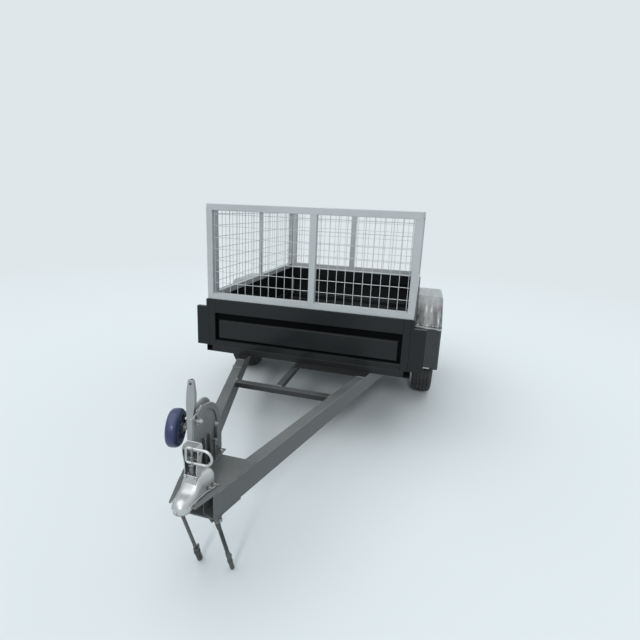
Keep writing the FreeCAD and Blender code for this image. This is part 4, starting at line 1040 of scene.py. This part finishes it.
# %% [markdown]
# ## The parking legs
# Two thin legs hold the nose up, each with a thicker foot and a clip on it. The left one is a plain
# square bar, and the right one was twisted when it was forged. A twist is easy when the bar is a row of
# square rings: each ring is turned a little more than the one before.
# %% Parking legs
def parking_leg(name, thick, twist, foot_radius):
    """A leg from its pivot to the floor: a square bar with so many turns of twist, and a round foot."""
    pivot = Vector(joints[name + "_fold"]["pos_m"])
    foot = Vector((pivot.x, box(name)[1].y - 0.0128, 0.0))
    way, reach = (foot - pivot).normalized(), (foot - pivot).length
    at = frame_at(pivot, Vector(across), way.cross(Vector(across)), way)
    bar, shoe, rings, straight = Shape(at), Shape(at), [], 0.12
    for share in (i / 48 for i in range(49)):
        size = thick * 0.7071 * (1 if straight < share < 1 - straight else 1.08)
        spin = twist * math.tau * blend(0, 1, (share - straight) / (1 - 2 * straight))
        angles, z = (spin + math.pi / 4 + k * math.pi / 2 for k in range(4)), 0.02 + (reach - 0.105) * share
        rings.append([(math.cos(a) * size, math.sin(a) * size, z) for a in angles])
    bar.hull(rings)
    bar.hull([[(x, y, z) for x, y in ((-0.0058, -w), (0.0058, -w), (0.0058, w), (-0.0058, w))]
              for z, w in ((-0.0095, 0.0055), (-0.005, 0.0078), (0.006, 0.0078), (0.03, 0.0058))])
    bar.add(name + "_bar", leg_steel, name, bevel=0.0008, hides=name, sharp=0.5)
    end = reach - 0.0016 - foot_radius * abs(way.y)
    profile = [(end - along, foot_radius * share) for along, share in
               ((0.084, 0.78), (0.078, 0.95), (0.02, 1), (0.004, 1), (0, 0.82))]
    shoe.turned([(end - 0.084, 0.002), *profile, (end, 0.002)], middle, (0, 0, 1), 28)
    shoe.sleeve(end - 0.06, end - 0.05, foot_radius, foot_radius + 0.0016, middle, (0, 0, 1), 28)
    shoe.box((-0.0022, -foot_radius - 0.007, end - 0.08), (0.0022, -foot_radius + 0.002, end - 0.058))
    shoe.add(name + "_foot", leg_steel, name, bevel=0.0006)
    print(name, "is", round(reach, 3), "metres long")


parking_leg("parking_leg_left", 0.0095, 0.0, 0.0112)
parking_leg("parking_leg_right", 0.0118, 2.5, 0.0088)
lug_pins = Shape()
for name in ("parking_leg_left_fold", "parking_leg_right_fold"):
    pivot = Vector(joints[name]["pos_m"])
    for side in (-1, 1):
        lug_pins.bolt(pivot + Vector((side * 0.0141, 0, 0)), (side, 0, 0), 0.012)
lug_pins.add("leg_bolts", satin_zinc, bevel=0.0004)
print("two legs on four bolts")

# %% [markdown]
# ## Tyres
# A tyre is a turned section, but its tread is what makes it a tyre. Four grooves run round it, and
# slots cut the shoulders and the ribs into blocks. The section is made anew for each step round the
# tyre, and where a slot runs its points lie deeper, so the blocks are real notches in the mesh. The left
# wheel is the right one mirrored, as on a real axle.
# %% Tyres
hub = Vector(joints["wheel_right_spin"]["pos_m"])
notch_deep, notch_every, steps = 0.0065, 5, 240
side_profile = mm((56, 165.5), (56, 177.5), (60.5, 183), (66.5, 196), (70.5, 212), (71.8, 214.5),
                  (72.3, 230), (71.8, 244), (70, 254), (70.8, 255.5), (69, 264), (65.5, 272.5),
                  (61.8, 279.5))
tread_profile = [*mm((58, 283.5), (48, 285.8), (40, 287.2), (39.5, 280), (33.5, 280), (33, 288.8),
                     (16, 290.5), (15.5, 283), (9.5, 283), (9, 291.2), (0, 291.5))]
blocks = {0: 0, 1: 0, 2: 0, 5: 2, 6: 2}
sides = (("right", Matrix.Identity(4)), ("left", flip))
rows = []
for i in range(steps):
    a = 2 * math.pi * i / steps
    section = [*side_profile]
    for k, (x, r) in enumerate(tread_profile):
        notched = k in blocks and (i + blocks[k]) % notch_every == 0
        section.append((x, r - (notch_deep if notched else 0)))
    section += [(-x, r) for x, r in reversed(section[:-1])]
    rows.append([hub + Vector((x, r * math.cos(a), r * math.sin(a))) for x, r in section])
for name, at in sides:
    carcass = Shape(at).skin(rows, closed=True)
    carcass.add("tyre_tread_" + name, rubber, "wheel_" + name, hides="tyre_" + name, sharp=0.6)
print("tyres with", steps // notch_every, "blocks round each shoulder")

# %% [markdown]
# ## Wheels
# The wheel is a rolled rim with a dished disc welded in it. The disc has windows that let the
# brakes breathe: the sheet is made as a grid of faces, some faces are left out, and Solidify gives the
# rest its thickness. Five nuts, a pressed cap and a valve finish it, and the drum sits behind.
# %% Rims, discs, nuts and drums
half_rim = mm((6, 150), (34, 152), (40, 164), (56.2, 165), (58.2, 177), (60.2, 176.8), (60, 157),
              (55.5, 160.8), (42, 160), (35, 148.2), (6, 146.5))
rim_profile = half_rim + [(-x, r) for x, r in reversed(half_rim)]
dish = mm((14, 33.5), (16, 40), (13.5, 48), (12, 64), (12.5, 76), (19, 86), (22, 96), (20, 106), (15, 116),
          (9, 126), (1, 134), (-6, 140), (-20, 147.4))
cap = mm((12, 33.5), (26, 32.5), (35.5, 30), (39.5, 24), (40.5, 12), (40.7, 1))
drum = mm((-67.5, 14), (-67.5, 112), (-65.5, 114.8), (-56, 114.8), (-54, 112.5), (-44, 112.5),
           (-42, 114.8), (-22, 114.8), (-20, 112), (-19.5, 84), (9, 66), (11, 14))
nuts, nut_circle, valve_turn = 5, 0.05715, math.radians(72)
nut_parts = ((0.0118, 0.0168, 0.0125, 20, 0.0098), (0.0168, 0.0298, 0.0108, 6, 0.0108),
             (0.0298, 0.0333, 0.0095, 16, 0.006))


def window(i, j):
    """The faces of the disc that are left out: three of every nine round it, in two of its rows."""
    return 7 <= j <= 8 and i % 9 in (3, 4, 5)


def from_hub(along, radius, turn):
    return hub + Vector((along, radius * math.cos(turn), radius * math.sin(turn)))


for name, at in sides:
    body = "wheel_" + name
    rim = Shape(at).turned(rim_profile, hub, across, 96)
    rim.add("rim_" + name, wheel_paint, body, hides="wheel_disc_" + name, sharp=0.5)
    disc = Shape(at).turned(dish, hub, across, 90, False, window)
    disc.add("disc_" + name, wheel_paint, body, shell=0.0035, bevel=0.0007, sharp=0.5)
    small = Shape(at)
    for a in (2 * math.pi * i / nuts for i in range(nuts)):
        for x0, x1, radius, count, end_radius in nut_parts:
            small.rod(from_hub(x0, nut_circle, a), from_hub(x1, nut_circle, a), radius, count, end_radius)
    small.turned(cap, hub, across, 48, False).add("nuts_" + name, bright_zinc, body, bevel=0.0006)
    valve, stem_end = Shape(at), from_hub(0.052, 0.156, valve_turn)
    valve.rod(from_hub(0.034, 0.1585, valve_turn), stem_end, 0.0042, 14, 0.0034)
    valve.rod(stem_end, from_hub(0.06, 0.1556, valve_turn), 0.004, 14)
    valve.add("valve_" + name, rubber, body, bevel=0.0004)
    Shape(at).turned(drum, hub, across, 60).add("drum_" + name, cast_iron, body, bevel=0.0008)
print("two wheels with ten windows and five nuts each")

# %% [markdown]
# ## Mudguards
# Each guard is one folded sheet: up the front, over the wheel and down the back, with a skirt along its
# outer edge. The film is stuck to it, so its folds are part of the same surface. The sheet is a fine
# grid, and where the film covers it each point is pushed out a little by a ridged noise, up to four
# millimetres. Lower down the sheet stays flat and smooth. Its directions are averaged over a few
# stations, so that the rounded corner and the skirt don't cross themselves at the bends.
# %% Mudguards
guard_front, guard_back = guard_low.y, guard_high.y
guard_sheet, skirt, fold_width = 0.002, 0.022, 0.014
shoulder_z = guard_high.z - 0.466 * 0.335
crown = 0.385 * 0.42
outline = [Vector((0, y, z)) for y, z in ((guard_front, guard_low.z), (guard_front, shoulder_z),
                                          (hub.y - crown, guard_high.z), (hub.y + crown, guard_high.z),
                                          (guard_back, shoulder_z), (guard_back, guard_low.z))]
stations = []
spacing, columns, averaged = 0.009, 22, 3
corner, corner_steps = 0.018, 6
for i, (start, end) in enumerate(zip(outline, outline[1:])):
    way = (end - start).normalized()
    count = max(2, round((end - start).length / spacing))
    for k in range(count + (i == len(outline) - 2)):
        stations.append((start.lerp(end, k / count), Vector((0, -way.z, way.y))))
faced = [normal for point, normal in stations]
for i, (point, normal) in enumerate(stations):
    near = faced[max(0, i - averaged):i + averaged + 1]
    stations[i] = (point, sum(near, Vector()).normalized())


def film_fold(point, seed):
    """How far the film stands off the sheet at a point."""
    edge = film_edge + (noise.noise(point * 7 + seed) * 0.5) * film_wave
    share = blend(0, 1, (point.z - edge) / 0.012)
    warped = point + Vector((noise.noise(point * 9), noise.noise(point * 9 + Vector((5, 0, 0))), 0)) * 0.05
    ridge = 1 - abs(noise.noise(Vector((warped.x * 17, warped.y * 11, warped.z * 15)) + seed))
    fine = 1 - abs(noise.noise(warped * 44 + seed))
    return share * (0.0004 + 0.0026 * ridge ** 5 + 0.001 * fine ** 4)


seeds = {"right": Vector((3.1, 1.7, 0.4)), "left": Vector((8.3, 2.2, 5.9))}
for name, at in sides:
    rows = []
    for point, normal in stations:
        row = []
        for j in range(columns + 1):
            x = guard_low.x + (guard_high.x - corner - guard_low.x) * j / columns
            spot = Vector((x, point.y, point.z))
            row.append(spot + normal * film_fold(spot, seeds[name]))
        spot = Vector((guard_high.x, point.y, point.z))
        for k in range(1, corner_steps + 1):
            a = math.pi / 2 * k / corner_steps
            inward = Vector((corner * (1 - math.sin(a)), 0, 0))
            row.append(spot - normal * corner * (1 - math.cos(a)) - inward)
        row.append(spot - normal * skirt)
        rows.append(row)
    guard = Shape(at).skin(rows)
    guard.add("guard_sheet_" + name, guard_film, shell=guard_sheet, hides="mudguard_" + name, sharp=1.2)
    trim, strip, bolts, stay = Shape(at), Shape(at), Shape(at), Shape(at)
    outer_x, top_z = guard_high.x - corner, guard_low.z + guard_sheet
    for y in (guard_front, guard_back - fold_width):
        trim.box((guard_low.x, y, guard_low.z), (outer_x, y + fold_width, top_z))
    trim.add("guard_returns_" + name, black_paint, bevel=0.0008)
    strip.box((guard_low.x + 0.01, guard_front - 0.0012, guard_low.z + 0.001),
              (guard_low.x + 0.118, guard_front + 0.001, guard_low.z + 0.0095))
    strip.add("guard_strip_" + name, pale_strip, bevel=0.0004)
    for y in (guard_front + 0.06, hub.y - 0.2, hub.y, hub.y + 0.2, guard_back - 0.06):
        z = guard_high.z - 0.06 if abs(y - hub.y) < 0.3 else shoulder_z - 0.09
        bolts.bolt((guard_low.x + 0.0002, y, min(z, 0.7)), across, 0.01)
    stay_z = guard_low.z + 0.1
    for y, way in ((guard_front + 0.0045, 1), (guard_back - 0.0045, -1)):
        stay.wire([(guard_low.x - 0.02, y + way * 0.012, box("side_rail_right")[0].z + 0.01),
                   (guard_low.x + 0.02, y + way * 0.01, stay_z + 0.012),
                   (guard_low.x + 0.1, y + way * 0.006, stay_z),
                   (guard_high.x - 0.02, y + way * 0.004, stay_z)], 0.005)
    stay.add("guard_stays_" + name, chassis_paint, bevel=0.0004)
    bolts.add("guard_bolts_" + name, satin_zinc, bevel=0.0004)
print("guards of", len(stations), "stations along the sheet")

# %% [markdown]
# ## Springs and axle fixings
# A leaf spring is a stack of bent strips, each shorter than the one above. They share one centre of
# bending, so a single radius and a step of one leaf's thickness give them all. The solid model has the
# pack as one piece; here the leaves are apart, with clips round them, an eye at each end, and two
# U-bolts that pull the pack down on the axle. The U-bolts are the wire tool again, on three straight runs.
# %% Leaf springs
span, camber, leaf, leaves = 0.76, 0.034, 0.007, 5
spring_low, spring_high = box("leaf_spring_right")
axle_low, axle_high = box("axle")
bend = (span * span / 4 + camber * camber) / (2 * camber)
bend_z = axle_high.z + leaves * leaf + bend
eye_bend = bend + 1.5 * leaf - 0.02
end_angle = math.asin(span / 2 / bend)
eye = (eye_bend * math.sin(end_angle), bend_z - eye_bend * math.cos(end_angle))
spring_x = (spring_low.x + spring_high.x) / 2
half_leaf, leaf_gap, leaf_steps, clip_half = 0.0225, 0.0005, 32, 0.0249
top, under, plate_half, bolt_out = axle_high.z + leaves * leaf, axle_low.z, 0.045, 0.0055
u_bolt = ((-bolt_out, under - 0.02), (-bolt_out, top + 0.003), (-0.003, top + 0.0095), (0.004, top + 0.0115))


def bent(a, x0, x1, near, far):
    """A leaf's section at an angle along the bend, between two radii."""
    corners = ((x0, near), (x1, near), (x1, far), (x0, far))
    return [(x, hub.y + r * math.sin(a), bend_z - r * math.cos(a)) for x, r in corners]


for side, name in ((1, "right"), (-1, "left")):
    pack, fixings, x = Shape(), Shape(), side * spring_x
    x0, x1 = x - half_leaf, x + half_leaf
    for i in range(leaves):
        half = math.asin(span / 2 * (1 - i / leaves * 0.8) / bend)
        rings = []
        for k in range(leaf_steps + 1):
            taper = 0.006 if i and k in (0, leaf_steps) else 0
            rings.append(bent(half * (2 * k / leaf_steps - 1), x0 + taper, x1 - taper, bend + i * leaf,
                              bend + (i + 1) * leaf - leaf_gap))
        pack.hull(rings)
    for end in (-1, 1):
        y, z = hub.y + end * eye[0], eye[1]
        pack.sleeve(-half_leaf, half_leaf, 0.0072, 0.0196, (x, y, z), across, 28)
        for way in (1, -1):
            fixings.bolt((x + way * 0.0279, y, z), (way, 0, 0), 0.0125)
        clip = (x - clip_half, x + clip_half, bend - 0.0022, bend + 0.0198)
        pack.hull([bent(end * 0.105 + turn / bend, *clip) for turn in (-0.011, 0.011)])
    pack.add("leaves_" + name, spring_steel, bevel=0.0009, hides="leaf_spring_" + name)
    y0, y1 = hub.y - plate_half, hub.y + plate_half
    fixings.box((x0 - 0.004, y0, top + 0.0002), (x1 + 0.004, y1, top + 0.006))
    fixings.box((x0 - 0.016, y0, under - 0.0075), (x1 + 0.013, y1, under - 0.0002))
    for y in (hub.y - 0.0275, hub.y + 0.0275):
        up = [(x0 + out, y, z) for out, z in u_bolt]
        fixings.wire(up + [(x1 - out, y, z) for out, z in reversed(u_bolt)], 0.0048)
        for foot_x in (x0 - bolt_out, x1 + bolt_out):
            fixings.bolt((foot_x, y, under - 0.0077), (0, 0, -1), 0.0145)
    fixings.add("spring_fixings_" + name, satin_zinc, bevel=0.0005)
print("springs of", leaves, "leaves with their eyes at", [round(v, 3) for v in eye])

# %% [markdown]
# ## Welds on the drawbar
# Every joint of the frame is welded, and a weld bead is a swelling line that catches light along an
# edge. Where a bar meets another at a slant, the bead follows the rail's own face, so the rail's line
# is written down once: where its tip stands, and how fast the two rails draw apart.
# %% Welds
rail_low, rail_high = box("drawbar_rail_right")
brace_low, brace_high = box("drawbar_brace")
spine_low, spine_high = box("drawbar_spine")
slope = 0.2906
skew = math.sqrt(1 + slope * slope)
rail_tip_y, rail_tip_x, rail_half = -1.3515, 0.047, 0.025
gusset_front, lug_back, tack = -0.1575 - 0.078, box("lug_plate")[1].y, 0.038


def rail_face(y, aside):
    """How far from the middle a face of a drawbar rail lies, at a place along Y."""
    return rail_tip_x + slope * (y - rail_tip_y) + aside * skew


beads = Shape()
top = rail_high.z
for side in (-1, 1):
    ends = [(side * rail_face(y, -rail_half), y) for y in (brace_low.y, brace_high.y)]
    beads.bead((*ends[0], top), (*ends[1], top), 0.0034)
    for end in ends:
        beads.bead((*end, brace_low.z), (*end, top), 0.0032)
    for y, near, far, z, radius in ((plate_high.y, -0.023, 0.022, seat - 0.003, 0.0036),
                                    (gusset_front, 0.023, -0.023, top + 0.002, 0.003),
                                    (lug_back, -0.024, 0.024, rail_low.z - 0.002, 0.0034)):
        beads.bead((side * rail_face(y, near), y, z), (side * rail_face(y, far), y, z), radius)
    for start in (0.012, 0.067, 0.122):
        beads.bead(*((side * (rail_face(y, rail_half) - 0.0005), y, top + 0.0012)
                     for y in (rail_tip_y + start, rail_tip_y + start + tack)), 0.003)
for x in (spine_low.x, spine_high.x):
    beads.bead((x, spine_low.y, spine_low.z), (x, spine_low.y, top), 0.003)
beads.bead((spine_low.x, spine_low.y, top), (spine_high.x, spine_low.y, top), 0.003)
beads.add("drawbar_welds", grey_paint)
corner_beads = Shape()
y0, y1 = front_low.y, front_low.y + 0.035
runs = ((front_high.z - 0.084, front_high.z - 0.002), (front_low.z + 0.002, front_low.z + 0.034))
for x in (-0.585, 0.585):
    for y in (y0, y1):
        for z0, z1 in runs:
            corner_beads.bead((x, y, z0), (x, y, z1), 0.0022)
    corner_beads.bead((x, y0 + 0.001, front_high.z), (x, y1 - 0.001, front_high.z), 0.002)
corner_beads.add("box_welds", black_paint)
bands, band, band_y, band_wide = Shape(), 0.0022, -0.352, 0.02
x_in, x_out = -rail_face(band_y, -rail_half - band), -rail_face(band_y, rail_half + band)
z_in, z_out = rail_low.z - band, top + band
bands.plate([(x, band_y, z) for x, z in ((x_in, z_in), (x_out, z_in), (x_out, z_out), (x_in, z_out))],
            Vector((-slope, 1, 0)).normalized() * band_wide)
bands.bolt((-0.2625, -0.506, top), (0, 0, 1), 0.011)
bands.add("rail_bands", satin_zinc, bevel=0.0006)
print("the rails' slope is", slope)

# %% [markdown]
# ## Tail lamps
# Each lamp is a black box with a ribbed lens in three parts: a red one, an amber one, and a small clear
# one. The ribs are thin strips of the same plastic, and two screws hold the lens.
# %% Tail lamps
lamp_low, lamp_high = box("tail_lamps")
wide, tall = 0.15, lamp_high.z - lamp_low.z
x0, x1 = lamp_high.x - wide, lamp_high.x
y0, y1 = lamp_low.y + 0.0262, lamp_high.y - 0.002
rib_pitch, middle_z = 0.0075, lamp_low.z + tall / 2
parts = (("red", red_lens, x1 - 0.078, x1 - 0.002), ("amber", amber_lens, x0 + 0.03, x1 - 0.0785),
         ("clear", clear_lens, x0 + 0.002, x0 + 0.0295))
for name, at in sides:
    housing = Shape(at)
    housing.box((x0, lamp_low.y, lamp_low.z), (x1, lamp_low.y + 0.026, lamp_high.z))
    housing.box((x0 + 0.05, lamp_low.y - 0.004, lamp_high.z - 0.012),
                (x1 - 0.078, lamp_low.y + 0.02, lamp_high.z))
    housing.add("lamp_box_" + name, lamp_black, bevel=0.003, hides="tail_lamps" if name == "right" else "")
    for part, finish, low_x, high_x in parts:
        lens = Shape(at).box((low_x, y0, lamp_low.z + 0.002), (high_x, y1, lamp_high.z - 0.002))
        for i in range(int((high_x - low_x - 0.008) / rib_pitch)):
            x = low_x + 0.006 + i * rib_pitch
            lens.box((x, y1 - 0.0005, lamp_low.z + 0.007), (x + 0.0035, y1 + 0.0014, lamp_high.z - 0.007))
        lens.add("lens_" + part + "_" + name, finish, bevel=0.0009)
    screws = Shape(at)
    for x in (x0 + 0.016, x1 - 0.02):
        y = lamp_high.y - 0.0022
        screws.rod((x, y, middle_z), (x, y + 0.002, middle_z), 0.0042, 20, 0.003)
    screws.add("lamp_screws_" + name, satin_zinc, bevel=0.0003)
print("two lamps", wide, "by", round(tall, 3), "metres")

# %% [markdown]
# ## Latches and hinge bolts
# The rear frame of the cage and the tailgate are each kept shut by sliding bolts. A bolt is a plate, two
# guides and a rod with a knob, and it is drawn a little way back, so that nothing passes through
# anything when a gate swings. The keepers stand on the posts beside it. Hinge leaves get their screws.
# %% Latches and hinge bolts
def slide_bolt(name, body, at, rod_long):
    """A sliding bolt in its own frame: it slides along X, and stands out along Y from the face."""
    bolt = Shape(at).box((-rod_long, 0.0001, -0.013), (-0.006, 0.0024, 0.013))
    for x in (-rod_long + 0.006, -0.02):
        bolt.box((x, 0.002, -0.0085), (x + 0.012, 0.0122, 0.0085))
    knob = -rod_long + 0.03
    bolt.rod((-rod_long - 0.004, 0.0068, 0), (-0.003, 0.0068, 0), 0.0042)
    bolt.rod((knob, 0.0068, 0), (knob, 0.008, -0.02), 0.0034, 12)
    bolt.rod((knob, 0.008, -0.018), (knob, 0.008, -0.026), 0.0052, 14)
    for x in (-rod_long + 0.024, -0.028):
        for z in (-0.0095, 0.0095):
            bolt.rod((x, 0.0022, z), (x, 0.0036, z), 0.0026, 12, 0.0016)
    bolt.add(name, satin_zinc, body, bevel=0.0005)


def keeper(name, at):
    """The staple that the bolt slides into, on its own small plate."""
    staple = Shape(at).box((0.004, 0.0001, -0.013), (0.026, 0.0022, 0.013))
    for z in (-0.0098, 0.0064):
        staple.box((0.009, 0.002, z), (0.021, 0.0128, z + 0.0034))
    staple.box((0.009, 0.0116, -0.0098), (0.021, 0.0138, 0.0098))
    staple.add(name, satin_zinc, bevel=0.0005)


tail_high, keeper_gap = box("tailgate")[1], Matrix.Translation((0.003, 0, 0))
for number, z in (("1", 0.98), ("2", 1.22)):
    at = Matrix.Translation((gate_high.x, gate_high.y, z))
    slide_bolt("gate_bolt_" + number, "cage_gate", at, 0.03)
    keeper("gate_keeper_" + number, at @ keeper_gap)
for name, mirrored in sides:
    at = mirrored @ Matrix.Translation((tail_high.x, tail_high.y, 0.7405))
    slide_bolt("tail_bolt_" + name, "tailgate", at, 0.075)
    keeper("tail_keeper_" + name, at @ keeper_gap)
screws = {"root": Shape(), "cage_gate": Shape(), "tailgate": Shape()}
gate_hinges, tail_hinges = (0.893, 1.078, 1.263), (-0.42, 0.0, 0.42)
for name, body, spread in (("gate_hinge_posts", "root", 0.022), ("gate_hinge_leaves", "cage_gate", 0.006),
                           ("tailgate_hinge_posts", "root", 0.024),
                           ("tailgate_hinge_leaves", "tailgate", 0.006)):
    node_low, node_high = box(name)
    steps = (-spread, 0.0, spread) if body == "root" else (-spread, spread)
    if name.startswith("tailgate"):
        z = node_low.z + 0.008 if body == "root" else node_high.z - 0.008
        spots = [(middle + step, z) for middle in tail_hinges for step in steps]
    else:
        x = node_low.x + 0.007 if body == "root" else node_high.x - 0.008
        spots = [(x, middle + step) for middle in gate_hinges for step in steps]
    for x, z in spots:
        y = node_low.y + 0.003
        screws[body].rod((x, y, z), (x, y + 0.0016, z), 0.0036, 14, 0.0024)
for body, shape in screws.items():
    shape.add("hinge_screws_" + body, satin_zinc, body)
print("four bolts and their keepers")

# %% [markdown]
# ## The size
# The box round everything that is shown, the floor left out, is printed.
# %% Size
low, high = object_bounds()
print("visual box", [round(v, 4) for v in (*low, *high)])
